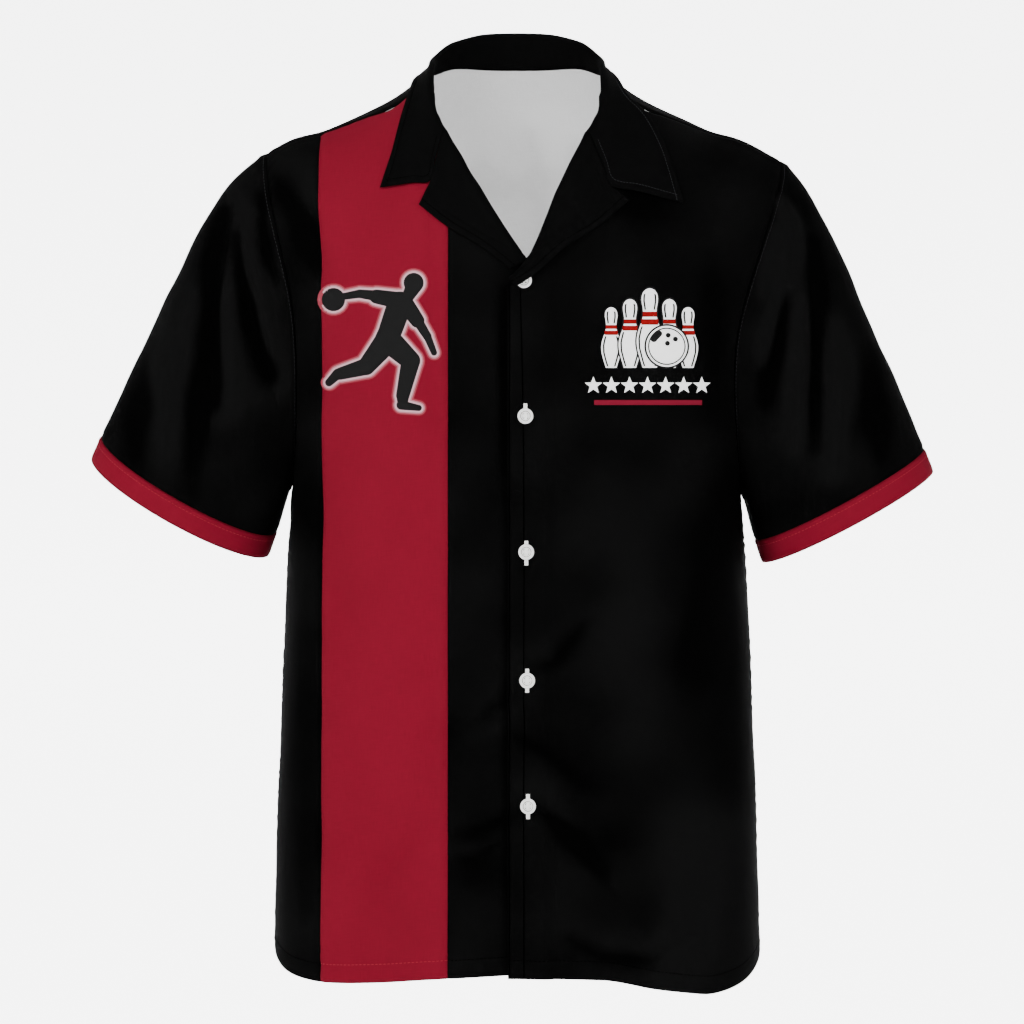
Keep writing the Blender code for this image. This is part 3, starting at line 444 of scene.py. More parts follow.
def spline(points: np.ndarray, count: int, closed: bool = False) -> np.ndarray:
    """Points spaced evenly on a smooth curve along the first axis of a grid.

    Args:
        points: grid of places, shape (n, ..., 3).
        count: how many rows to give back.
        closed: whether the first axis runs round a ring.

    Returns:
        Grid of shape (count, ..., 3).
    """
    points = np.asarray(points, dtype=float)
    if closed:
        wrap = 4
        points = np.concatenate([points[-wrap:], points, points[: wrap + 1]])
    steps = np.linalg.norm(np.diff(points, axis=0), axis=-1).reshape(len(points) - 1, -1)
    knots = np.concatenate([[0.0], np.cumsum(np.maximum(steps.mean(axis=1), 1e-6))])
    width = np.diff(knots)
    n = len(points)
    matrix = np.eye(n)
    right = np.zeros_like(points)
    slopes = np.diff(points, axis=0) / width.reshape(-1, *([1] * (points.ndim - 1)))
    for i in range(1, n - 1):
        matrix[i, i - 1 : i + 2] = (width[i - 1], 2.0 * (width[i - 1] + width[i]), width[i])
        right[i] = 6.0 * (slopes[i] - slopes[i - 1])
    bends = np.linalg.solve(matrix, right.reshape(n, -1)).reshape(right.shape)
    if closed:
        at = np.linspace(knots[wrap], knots[-wrap - 1], count, endpoint=False)
    else:
        at = np.linspace(0.0, knots[-1], count)
    k = np.clip(np.searchsorted(knots, at, side="right") - 1, 0, n - 2)
    shape = (-1, *([1] * (points.ndim - 1)))
    h = width[k].reshape(shape)
    b = ((at - knots[k]) / width[k]).reshape(shape)
    a = 1.0 - b
    curve = a * points[k] + b * points[k + 1]
    return curve + ((a**3 - a) * bends[k] + (b**3 - b) * bends[k + 1]) * h * h / 6.0


def refined(grid: Sequence, step: float, closed: bool = False) -> np.ndarray:
    """A coarse grid made fine along both axes.

    Args:
        grid: coarse places, shape (rows, columns, 3).
        step: spacing aimed at.
        closed: whether the columns run round a ring.

    Returns:
        The fine grid.
    """
    grid = np.asarray(grid, dtype=float)
    tall = np.linalg.norm(np.diff(grid, axis=0), axis=-1).sum(axis=0).mean()
    wide = np.linalg.norm(np.diff(grid, axis=1), axis=-1).sum(axis=1).mean()
    rows = max(int(tall / step) + 1, 4)
    columns = max(int(wide / step) + 1, 4)
    fine = spline(grid, rows)
    return np.swapaxes(spline(np.swapaxes(fine, 0, 1), columns, closed), 0, 1)


def unevenness(a: np.ndarray, b: np.ndarray) -> np.ndarray:
    """Slow uneven waves, from about -1 to 1, over two coordinates in metres."""
    return (
        np.sin(61.0 * a + 23.0 * b + 0.4)
        + 0.8 * np.sin(-37.0 * a + 71.0 * b + 2.1)
        + 0.6 * np.sin(113.0 * a - 52.0 * b + 4.0)
        + 0.5 * np.sin(29.0 * a + 131.0 * b + 1.3)
    ) / 2.9


def relief(points: np.ndarray, creases: Sequence[Crease]) -> np.ndarray:
    """How far creases move the cloth out at each place.

    Args:
        points: places, shape (..., 3).
        creases: the creases of the piece.

    Returns:
        Distances out, shape (...).
    """
    across, up = points[..., 0], points[..., 2]
    total = np.zeros(across.shape)
    for crease in creases:
        path = np.array(crease.path)
        length = np.linalg.norm(np.diff(path, axis=0), axis=1)
        whole = length.sum()
        nearest = np.full(across.shape, 1e9)
        signed = np.zeros(across.shape)
        place = np.zeros(across.shape)
        done = 0.0
        for (x1, z1), (x2, z2), run in zip(path[:-1], path[1:], length):
            dx, dz = (x2 - x1) / run, (z2 - z1) / run
            share = np.clip((across - x1) * dx + (up - z1) * dz, 0.0, run)
            off_x = across - (x1 + dx * share)
            off_z = up - (z1 + dz * share)
            off = np.hypot(off_x, off_z)
            closer = off < nearest
            nearest = np.where(closer, off, nearest)
            turn = np.sign(dx * (up - z1) - dz * (across - x1))
            signed = np.where(closer, off * turn, signed)
            place = np.where(closer, (done + share) / whole, place)
            done += run
        ends = 0.35 + 0.65 * np.sin(np.pi * np.clip(place, 0.02, 0.98)) ** 0.6
        width = crease.half * (1.0 + 0.14 * np.sin(place * 9.0 + whole * 40.0))
        body = np.exp(-((nearest / width) ** 2))
        lip = np.exp(-(((signed - 2.0 * width) / (1.2 * width)) ** 2))
        total += crease.depth * ends * (body - crease.lip * lip)
    return total


# ---------------------------------------------------------------- the shirt's form


class ShirtForm:
    """The body form that the solids share, with its armholes, fronts, back and sleeves."""

    @staticmethod
    def ridge(x: float) -> float:
        """Height of the shoulders' top line."""
        return along(RIDGE, abs(x))

    @classmethod
    def seam_height(cls, x: float) -> float:
        """Height of the shoulder seam."""
        return cls.ridge(x) - along(SEAM_DROP, abs(x))

    @staticmethod
    def depth(z: float, facing: Facing) -> float:
        """Full depth of the body at a height."""
        return along(BODY, z, 2 if facing is FRONT else 3)

    @classmethod
    def arch(cls, x: float, z: float) -> float:
        """Share of the full depth that the shoulder's arch leaves at a height."""
        rise = (z - (cls.ridge(x) - SHOULDER_ARCH)) / SHOULDER_ARCH
        rise = min(max(rise, 0.0), 1.0)
        return math.sqrt(max(1.0 - rise * rise, 0.0))

    @staticmethod
    def armhole_share(z: float, side: Side) -> float:
        """Share of the way down the armhole."""
        top, foot = ARMHOLE_TOP[side], ARMHOLE_FOOT[side]
        return min(max((top - z) / (top - foot), 0.0), 1.0)

    @classmethod
    def armhole_reach(cls, z: float, side: Side, facing: Facing) -> float:
        """How far forward or back the armhole's edge stands at a height."""
        from_middle = abs(2.0 * cls.armhole_share(z, side) - 1.0)
        return ARMHOLE_DEPTH[facing] * math.sqrt(max(1.0 - from_middle**2.3, 0.0))

    @classmethod
    def armhole_x(cls, z: float, side: Side) -> float:
        """Distance of the armhole's edge from the middle."""
        return along(ARMHOLE, cls.armhole_share(z, side), 1 if side is RIGHT else 2)

    @classmethod
    def half_width(cls, z: float, side: Side, facing: Facing) -> float:
        """Half width of the section at a height, passing through the armhole's edge."""
        if z <= ARMHOLE_FOOT[side]:
            return along(BODY, z)
        z = min(z, ARMHOLE_TOP[side] - 0.002)
        x = cls.armhole_x(z, side)
        full = cls.depth(z, facing) * cls.arch(x, z)
        share = min(cls.armhole_reach(z, side, facing) / full, 0.97)
        return x / (1.0 - share**SQUARENESS) ** (1.0 / SQUARENESS)

    @classmethod
    def section(cls, x: float, z: float, facing: Facing) -> float:
        """Share of the depth that the rounded-square section leaves at x."""
        side = RIGHT if x < 0 else LEFT
        share = min(abs(x) / cls.half_width(z, side, facing), 1.0)
        return (1.0 - share**SQUARENESS) ** (1.0 / SQUARENESS)

    @classmethod
    def point(cls, x: float, z: float, facing: Facing) -> np.ndarray:
        """Place on the cloth's inner face at a place across and a height."""
        y = facing.value * cls.depth(z, facing) * cls.section(x, z, facing) * cls.arch(x, z)
        return np.array((x, y, z))

    @classmethod
    def top_point(cls, x: float, y: float) -> np.ndarray:
        """Place on the inner face near the shoulders' top line, at a place in plan."""
        facing = FRONT if y < 0 else BACK
        z = cls.ridge(x)
        for _ in range(12):
            reach = cls.depth(z, facing) * cls.section(x, z, facing)
            sine = min(abs(y) / reach, 0.999)
            z = cls.ridge(x) - SHOULDER_ARCH * (1.0 - math.sqrt(1.0 - sine * sine))
        return np.array((x, y, z))

    @classmethod
    def level(cls, place: np.ndarray) -> float:
        """Zero on the cloth's inner face, and more outside."""
        x, y, z = place
        facing = FRONT if y < 0 else BACK
        side = RIGHT if x < 0 else LEFT
        share = min(abs(x) / cls.half_width(z, side, facing), 1.2)
        across = 1.0 - share**SQUARENESS
        across = math.copysign(abs(across) ** (2.0 / SQUARENESS), across)
        rise = max((z - (cls.ridge(x) - SHOULDER_ARCH)) / SHOULDER_ARCH, 0.0)
        return (y / cls.depth(z, facing)) ** 2 - across * (1.0 - rise * rise)

    @classmethod
    def normal(cls, place: np.ndarray) -> np.ndarray:
        """Direction out of the cloth."""
        step = 0.0008
        slope = np.zeros(3)
        for axis in range(3):
            move = np.zeros(3)
            move[axis] = step
            slope[axis] = cls.level(place + move) - cls.level(place - move)
        return unit(slope)

    @classmethod
    def lifted(cls, place: np.ndarray, clear: float) -> np.ndarray:
        """The place, moved out where it would be less than clear outside the inner face."""
        x, y, z = place
        facing = FRONT if y < 0 else BACK
        foot = cls.ridge(x) - SHOULDER_ARCH
        reach = cls.depth(z, facing) * cls.section(x, z, facing)
        rise = max((z - foot) / SHOULDER_ARCH, 0.0)
        level = math.hypot(y / max(reach, 1e-6), rise)
        short = 1.0 + clear / SHOULDER_ARCH
        if facing is FRONT:
            short = 1.0 + clear / max(reach, 1e-6)
        if level >= short:
            return place
        grow = short / level
        return np.array((x, y * grow, foot + (z - foot) * grow if z > foot else z))

    @staticmethod
    def hollow_height(row: int, side: Side) -> float:
        """Height of a row on the armhole's edge, from its foot to its top."""
        share = (1.0 - math.cos(math.pi * row / HOLLOW_ROWS)) / 2.0
        return mix(ARMHOLE_FOOT[side], ARMHOLE_TOP[side], share)

    @staticmethod
    def skirt_height(row: int, x: float, foot: float, edge: Side | None) -> float:
        """Height of a row between the hem and the armhole's foot."""
        level = mix(HEM_MEAN, foot, row / SKIRT_ROWS)
        share = smooth((HEM_REACH - level) / (HEM_REACH - HEM_MEAN))
        return level + (along(HEM, abs(x) / HEM_HALF_WIDTH, HEM_COLUMN[edge]) - HEM_MEAN) * share

    @staticmethod
    def roll_edge(side: Side) -> list[tuple[float, float]]:
        """A front's own edge, one leg inside its roll line, from the middle outwards."""
        line = np.array(ROLL[side])
        edge = []
        for k, place in enumerate(line):
            run = unit(line[min(k + 1, len(line) - 1)] - line[max(k - 1, 0)])
            moved = place + np.array((run[1], -run[0])) * -side.value * ROLL_LEG
            edge.append((side.value * moved[0], moved[1]))
        return sorted(edge)

    @classmethod
    def front_top(cls, x: float, side: Side) -> float:
        """Height of a front's top edge: the shoulder seam, then the neck opening."""
        edge = cls.roll_edge(side)
        if x >= edge[-1][0]:
            return cls.seam_height(x)
        return float(np.interp(x, [p[0] for p in edge], [p[1] for p in edge]))

    @staticmethod
    def stripe_x(z: float) -> float:
        """Distance of the stripe's outer seam from the middle at a height."""
        return STRIPE_OUTER + STRIPE_LEAN * smooth((z + 0.180) / 0.155)

    @classmethod
    def between(cls, share: float, outer: tuple, inner: tuple, side: Side, facing: Facing) -> float:
        """Place across between two places on the body, spaced by angle round it."""
        power = SQUARENESS / 2.0
        angles, widths = [], []
        for x, z in (outer, inner):
            wide = cls.half_width(z, side, facing)
            widths.append(wide)
            angles.append(math.acos(min(x / wide, 1.0) ** power))
        angle = mix(angles[0], angles[1], share)
        return mix(widths[0], widths[1], share) * math.cos(angle) ** (1.0 / power)

    @classmethod
    def front_grid(cls, side: Side, shares: tuple, columns: tuple) -> list[list[np.ndarray]]:
        """Inner face of a front, row by row from the hem up.

        Args:
            side: the wearer's side.
            shares: columns between the armhole and the first table column, or none.
            columns: distances from the middle, low down and at the top edge.

        Returns:
            Rows of places.
        """
        foot = ARMHOLE_FOOT[side]
        reach = cls.hollow_height(HOLLOW_ROWS - 1, side) - foot
        rows = []
        for row in range(SKIRT_ROWS + HOLLOW_ROWS):
            climb = max(row - SKIRT_ROWS, 0) / (HOLLOW_ROWS - 1)
            height = cls.hollow_height(max(row - SKIRT_ROWS, 0), side)
            rise = (height - foot) / reach
            places = []
            for low, high in columns:
                x = mix(low, high, smooth(climb))
                if low == STRIPE_OUTER and side is RIGHT:
                    x = cls.stripe_x(mix(foot, cls.seam_height(high), rise))
                z = mix(foot, cls.front_top(x, side), rise)
                if row < SKIRT_ROWS:
                    z = cls.skirt_height(row, x, foot, side)
                places.append((x, z))
            x, z = cls.armhole_x(height, side), height
            if row < SKIRT_ROWS:
                z = cls.skirt_height(row, HEM_HALF_WIDTH, foot, side)
                x = cls.half_width(z, side, FRONT)
            outer, inner = (x, z), places[0]
            arm = [outer] if shares else []
            for share in shares[1:-1]:
                x = cls.between(share, outer, inner, side, FRONT)
                z = mix(outer[1], inner[1], share)
                if row < SKIRT_ROWS:
                    z = cls.skirt_height(row, x, foot, side)
                else:
                    top = cls.hollow_height(HOLLOW_ROWS - 1, side)
                    top = mix(top, cls.front_top(inner[0], side), share)
                    z += (cls.seam_height(x) - top) * climb**4
                arm.append((x, z))
            rows.append([cls.point(side.value * x, z, FRONT) for x, z in arm + places])
        return rows

    @classmethod
    def climb_of(cls, x: float, z: float) -> float:
        """Distance up the cloth from where the shoulder's arch starts."""
        over = z - (cls.ridge(x) - SHOULDER_ARCH)
        if over <= 0.0:
            return over
        return math.asin(min(over / SHOULDER_ARCH, 1.0)) * SHOULDER_ARCH

    @classmethod
    def climb_point(cls, x: float, climb: float) -> np.ndarray:
        """Place on the back's inner face at a distance up the cloth, over the top and on."""
        foot = cls.ridge(x) - SHOULDER_ARCH
        if climb <= 0.0:
            return cls.point(x, foot + climb, BACK)
        angle = climb / SHOULDER_ARCH
        z = foot + SHOULDER_ARCH * math.sin(angle)
        facing = BACK if angle <= math.pi / 2 else FRONT
        y = abs(math.cos(angle)) * cls.depth(z, facing) * cls.section(x, z, facing)
        return np.array((x, facing.value * y, z))

    @classmethod
    def back_end(cls, x: float, y: float | None) -> float:
        """Climb at which a column of the back ends, at the shoulder seam or the neckline."""
        full = math.pi * SHOULDER_ARCH
        if y is None:
            return full - cls.climb_of(x, cls.seam_height(x))
        climb = cls.climb_of(x, cls.top_point(x, y)[2])
        return climb if y >= 0 else full - climb

    @classmethod
    def back_grid(cls) -> list[list[np.ndarray]]:
        """Inner face of the back, row by row from the hem up to the shoulder seams."""
        full = math.pi * SHOULDER_ARCH
        rows = []
        for row in range(SKIRT_ROWS + HOLLOW_ROWS + 2):
            halves = {side: cls._back_half(row, side, full) for side in Side}
            places = halves[RIGHT] + halves[LEFT][-2::-1]
            rows.append([cls.climb_point(x, climb) for x, climb in places])
        return rows

    @classmethod
    def _back_half(cls, row: int, side: Side, full: float) -> list[tuple[float, float]]:
        """Places (x, climb) of one row of one half of the back, from the side inwards."""
        foot = ARMHOLE_FOOT[side]
        step = max(row - SKIRT_ROWS, 0)
        over = step > HOLLOW_ROWS
        height = cls.hollow_height(HOLLOW_ROWS - 1 if over else step, side)
        edge_x = cls.armhole_x(height, side)
        edge_climb = cls.climb_of(edge_x, height)
        if over:
            edge_climb = full - edge_climb
        start = cls.climb_of(cls.armhole_x(foot, side), foot)
        last = cls.armhole_x(cls.hollow_height(HOLLOW_ROWS - 1, side), side)
        last_climb = full - cls.climb_of(last, cls.hollow_height(HOLLOW_ROWS - 1, side))
        rise = (edge_climb - start) / (last_climb - start)
        points = []
        for low, high, y in BACK_COLUMNS:
            x = mix(low, high, smooth(step / (HOLLOW_ROWS + 1)))
            end = cls.back_end(high, y)
            if row < SKIRT_ROWS:
                points.append((x, cls.climb_of(x, cls.skirt_height(row, x, foot, None))))
            else:
                points.append((x, mix(cls.climb_of(x, foot), end, rise)))
        inner_x, inner_climb = points[0]
        inner_z = cls.climb_point(inner_x, inner_climb)[2]
        if row < SKIRT_ROWS:
            height = cls.skirt_height(row, HEM_HALF_WIDTH, foot, None)
            edge_x = cls.half_width(height, side, BACK)
            edge_climb = cls.climb_of(edge_x, height)
        facing = FRONT if over else BACK
        arm = [(edge_x, edge_climb)]
        for share in ARM_SHARES[1:-1]:
            x = cls.between(share, (edge_x, height), (inner_x, inner_z), side, facing)
            climb = mix(edge_climb, inner_climb, share)
            if row < SKIRT_ROWS:
                climb = cls.climb_of(x, cls.skirt_height(row, x, foot, None))
            elif over:
                climb = cls.back_end(x, None)
            arm.append((x, climb))
        return [(side.value * x, climb) for x, climb in arm + points]

    @classmethod
    def armhole_ring(cls, side: Side) -> list[np.ndarray]:
        """The armhole's edge, from the top down the front and up the back."""
        points = []
        for step in range(2 * HOLLOW_ROWS):
            facing = FRONT if step <= HOLLOW_ROWS else BACK
            row = HOLLOW_ROWS - step if facing is FRONT else step - HOLLOW_ROWS
            z = cls.hollow_height(row, side)
            place = cls.point(side.value * cls.armhole_x(z, side), z, facing)
            if row in (0, HOLLOW_ROWS):
                place[1] = 0.0
            points.append(place)
        return points

    @classmethod
    def sleeve_grid(cls, side: Side) -> tuple[np.ndarray, np.ndarray]:
        """Inner face of a sleeve, as rings from the armhole to the band, and of its band."""
        sizes = SLEEVES[side]
        sign = side.value
        start = []
        ring = cls.armhole_ring(side)
        for step, place in enumerate(ring):
            angle = math.pi * step / HOLLOW_ROWS
            normal = cls.normal(place) if step != HOLLOW_ROWS else np.array((sign, 0.0, 0.0))
            clear = SEAM_GAP + CLOTH * (abs(normal[0]) + max(-math.cos(angle), 0.0))
            start.append(place + np.array((sign * clear, 0.0, 0.0)))
        outer = np.array((sign * (sizes.outer[0] - CLOTH), 0.0, sizes.outer[1]))
        inner = np.array((sign * (sizes.inner[0] + CLOTH), 0.0, sizes.inner[1]))
        middle = (outer + inner) / 2.0 + np.array((0.0, sizes.backward, 0.0))
        across = (outer - inner) / 2.0
        forward = np.array((0.0, -sizes.hem_depth, -sizes.dip))
        out = unit(across)
        rings = []
        for k in range(sizes.rings + 2):
            row = []
            for step, place in enumerate(start):
                angle = math.pi * step / HOLLOW_ROWS
                hem = middle + across * math.cos(angle) + forward * math.sin(angle)
                seam = 1.0 - BAND_WIDTH / float(np.linalg.norm(hem - place))
                share = seam * k / (sizes.rings - 1)
                if k >= sizes.rings:
                    share = mix(seam, 1.0, (k - sizes.rings + 1) / 2.0)
                crown = max(math.cos(angle), 0.0) ** 0.7
                bulge = along(SLEEVE_BULGE, share) * sizes.bulge * crown
                row.append(mix(place, hem, share) + out * bulge)
            rings.append(row)
        whole = np.array(rings)
        return whole[: sizes.rings], whole[sizes.rings - 1 :]


def overlap_lift(x: float | np.ndarray) -> float | np.ndarray:
    """How far the left front rises to lie over the right front."""
    return (CLOTH + LAYER_GAP) * smooth((OVERLAP_RAMP - x) / 0.010)


# ---------------------------------------------------------------- finishes


def linear(colour: str) -> tuple[float, float, float, float]:
    """Linear colour of an sRGB hex colour such as "#8B1524"."""
    parts = [int(colour[i : i + 2], 16) / 255.0 for i in (1, 3, 5)]
    values = [c / 12.92 if c <= 0.04045 else ((c + 0.055) / 1.055) ** 2.4 for c in parts]
    return (*values, 1.0)


class NodeSheet:
    """A material's nodes, with short calls that add and join them."""

    def __init__(self, name: str) -> None:
        """Start an empty material of this name."""
        self.material = bpy.data.materials.new(name)
        self.material.use_nodes = True
        self.tree = self.material.node_tree
        self.shader = self.tree.nodes["Principled BSDF"]

    def add(self, kind: str, inputs: dict | None = None, **settings) -> bpy.types.Node:
        """Add a node.

        Args:
            kind: the node's type, without the ShaderNode in front.
            inputs: socket name or number to a value, or to another node's output.
            settings: the node's own settings.

        Returns:
            The node.
        """
        node = self.tree.nodes.new("ShaderNode" + kind)
        for key, value in settings.items():
            setattr(node, key, value)
        for key, value in (inputs or {}).items():
            self.feed(node.inputs[key], value)
        return node

    def feed(self, socket: bpy.types.NodeSocket, value) -> None:
        """Join an output to a socket, or set the socket's own value."""
        if isinstance(value, bpy.types.NodeSocket):
            self.tree.links.new(value, socket)
        else:
            socket.default_value = value

    def maths(self, operation: str, a, b=0.0) -> bpy.types.NodeSocket:
        """Result of a maths step on two values."""
        return self.add("Math", {0: a, 1: b}, operation=operation).outputs[0]

    def blend(self, share, first, second) -> bpy.types.NodeSocket:
        """Colour between two, by a share."""
        node = self.add("Mix", {0: share, 6: first, 7: second}, data_type="RGBA")
        return node.outputs[2]


@dataclass(frozen=True)
class WovenCloth:
    """Plain-weave shirting: dull, slightly slubby and finely crumpled, with painted shade in crease
    troughs and painted light on crease ridges.

    Attributes:
        name: the material's name.
        dark: colour in the hollows of the weave, and of the painted shade in crease troughs.
        light: colour of the threads that stand up, and of the painted light on crease ridges.
        thread_mm: spacing of the threads.
        slub: how strongly thick and thin threads show.
        rough: roughness.
        sheen: soft edge light of the cloth's nap.
        shine: specular level.
        twill: share of a diagonal line in the weave, for the reverse side.
        fold: strength of the painted fold shade, which paints ridges lighter than troughs.
        painted_glow: painted light, emission that lifts a bright white above what the lamps give it.
    """

    name: str
    dark: str
    light: str
    thread_mm: float = 0.55
    slub: float = 0.35
    rough: float = 0.86
    sheen: float = 0.12
    shine: float = 0.22
    twill: float = 0.0
    fold: float = 0.3
    painted_glow: float = 0.0

    def build(self) -> bpy.types.Material:
        """Make the material, read from each piece's own map in metres."""
        s = NodeSheet(self.name)
        place = s.add("UVMap", uv_map="Cloth").outputs["UV"]
        split = s.add("SeparateXYZ", {0: place})
        turns = 2.0 * math.pi / (self.thread_mm / 1000.0)
        warp = s.maths("SINE", s.maths("MULTIPLY", split.outputs[0], turns))
        weft = s.maths("SINE", s.maths("MULTIPLY", split.outputs[1], turns))
        diagonal = s.maths("ADD", split.outputs[0], split.outputs[1])
        diagonal = s.maths("SINE", s.maths("MULTIPLY", diagonal, turns / 3.0))
        checks = s.maths("MULTIPLY", warp, weft)
        weave = s.maths("ADD", checks, s.maths("MULTIPLY", diagonal, self.twill))
        tall = s.add("VectorMath", {0: place, 1: (1500.0, 90.0, 1.0)}, operation="MULTIPLY")
        wide = s.add("VectorMath", {0: place, 1: (90.0, 1500.0, 1.0)}, operation="MULTIPLY")
        slub_up = s.add("TexNoise", {"Vector": tall.outputs[0], "Scale": 1.0, "Detail": 2.0})
        slub_across = s.add("TexNoise", {"Vector": wide.outputs[0], "Scale": 1.0, "Detail": 2.0})
        slubs = s.maths("ADD", slub_up.outputs[0], slub_across.outputs[0])
        slubs = s.maths("MULTIPLY", s.maths("SUBTRACT", slubs, 1.0), self.slub * 3.0)
        cloudy = s.add("TexNoise", {"Vector": place, "Scale": 22.0, "Detail": 3.0})
        clouds = s.maths("SUBTRACT", cloudy.outputs[0], 0.5)
        tone = s.maths("ADD", s.maths("MULTIPLY", weave, 0.16), s.maths("MULTIPLY", clouds, 0.3))
        tone = s.maths("ADD", s.maths("ADD", tone, slubs), 0.5)
        # painted fold shade: a share per point, above 0.5 on ridges and below in troughs, moves the
        # colour towards light or dark
        painted_fold_shade = s.add("Attribute", attribute_name="painted_fold_shade").outputs["Fac"]
        lift = s.maths("MULTIPLY", s.maths("SUBTRACT", painted_fold_shade, 0.5), self.fold)
        share = s.add("Clamp", {0: s.maths("ADD", tone, lift)}).outputs[0]
        s.feed(s.shader.inputs["Base Color"], s.blend(share, linear(self.dark), linear(self.light)))
        crumple = s.add("TexNoise", {"Vector": place, "Scale": 95.0, "Detail": 3.0})
        height = s.maths("MULTIPLY", weave, 0.00005)
        height = s.maths("ADD", height, s.maths("MULTIPLY", slubs, 0.00009))
        height = s.maths("ADD", height, s.maths("MULTIPLY", crumple.outputs[0], 0.0005))
        bump = s.add("Bump", {"Height": height, "Strength": 0.55, "Distance": 1.0})
        s.feed(s.shader.inputs["Normal"], bump.outputs[0])
        s.shader.inputs["Roughness"].default_value = self.rough
        s.shader.inputs["Specular IOR Level"].default_value = self.shine
        s.shader.inputs["Sheen Weight"].default_value = self.sheen
        s.shader.inputs["Sheen Roughness"].default_value = 0.45
        # painted glow: emission on cloth, which is no lamp
        s.shader.inputs["Emission Color"].default_value = (1.0, 1.0, 1.0, 1.0)
        s.shader.inputs["Emission Strength"].default_value = self.painted_glow
        return s.material


@dataclass(frozen=True)
class PlainFinish:
    """A finish of one colour with a fine grain.

    Attributes:
        name: the material's name.
        colour: its colour.
        rough: roughness.
        grain_mm: size of the grain in its height.
        grain: height of the grain, in metres.
        shine: specular level.
        painted_glow: painted light, emission in its own colour that lifts a bright white above what the
            lamps give it.
    """

    name: str
    colour: str
    rough: float
    grain_mm: float = 0.6
    grain: float = 0.00003
    shine: float = 0.3
    painted_glow: float = 0.0

    def build(self) -> bpy.types.Material:
        """Make the material, read from object coordinates."""
        s = NodeSheet(self.name)
        place = s.add("TexCoord").outputs["Object"]
        noise = s.add("TexNoise", {"Vector": place, "Scale": 1000.0 / self.grain_mm, "Detail": 2.0})
        base = linear(self.colour)
        deep = tuple(c * 0.86 for c in base[:3]) + (1.0,)
        s.feed(s.shader.inputs["Base Color"], s.blend(noise.outputs[0], deep, base))
        height = s.maths("MULTIPLY", noise.outputs[0], self.grain)
        bump = s.add("Bump", {"Height": height, "Strength": 0.6, "Distance": 1.0})
        s.feed(s.shader.inputs["Normal"], bump.outputs[0])
        s.shader.inputs["Roughness"].default_value = self.rough
        s.shader.inputs["Specular IOR Level"].default_value = self.shine
        # painted glow: emission in the finish's own colour, though it is no lamp
        s.shader.inputs["Emission Color"].default_value = base
        s.shader.inputs["Emission Strength"].default_value = self.painted_glow
        return s.material


@dataclass(frozen=True)
class ButtonResin:
    """Polished white resin with faint cloudy layers, a little light passing into it, and a painted glow
    of its own.
    """

    name: str = "polished_button_resin"
    cloudy: str = "#EDECE8"
    clear: str = "#FFFFFE"
    painted_glow: float = 0.45

    def build(self) -> bpy.types.Material:
        """Make the material."""
        s = NodeSheet(self.name)
        place = s.add("TexCoord").outputs["Object"]
        bent = s.add(
            "TexNoise", {"Vector": place, "Scale": 160.0, "Detail": 3.0, "Distortion": 1.4}
        )
        tone = s.blend(bent.outputs[0], linear(self.cloudy), linear(self.clear))
        s.feed(s.shader.inputs["Base Color"], tone)
        s.shader.inputs["Roughness"].default_value = 0.24
        s.shader.inputs["Subsurface Weight"].default_value = 0.18
        s.shader.inputs["Subsurface Radius"].default_value = (0.0012, 0.0012, 0.0011)
        s.shader.inputs["Subsurface Scale"].default_value = 1.0
        # painted glow: emission on the resin, which is no lamp
        s.shader.inputs["Emission Color"].default_value = (1.0, 1.0, 0.99, 1.0)
        s.shader.inputs["Emission Strength"].default_value = self.painted_glow
        return s.material


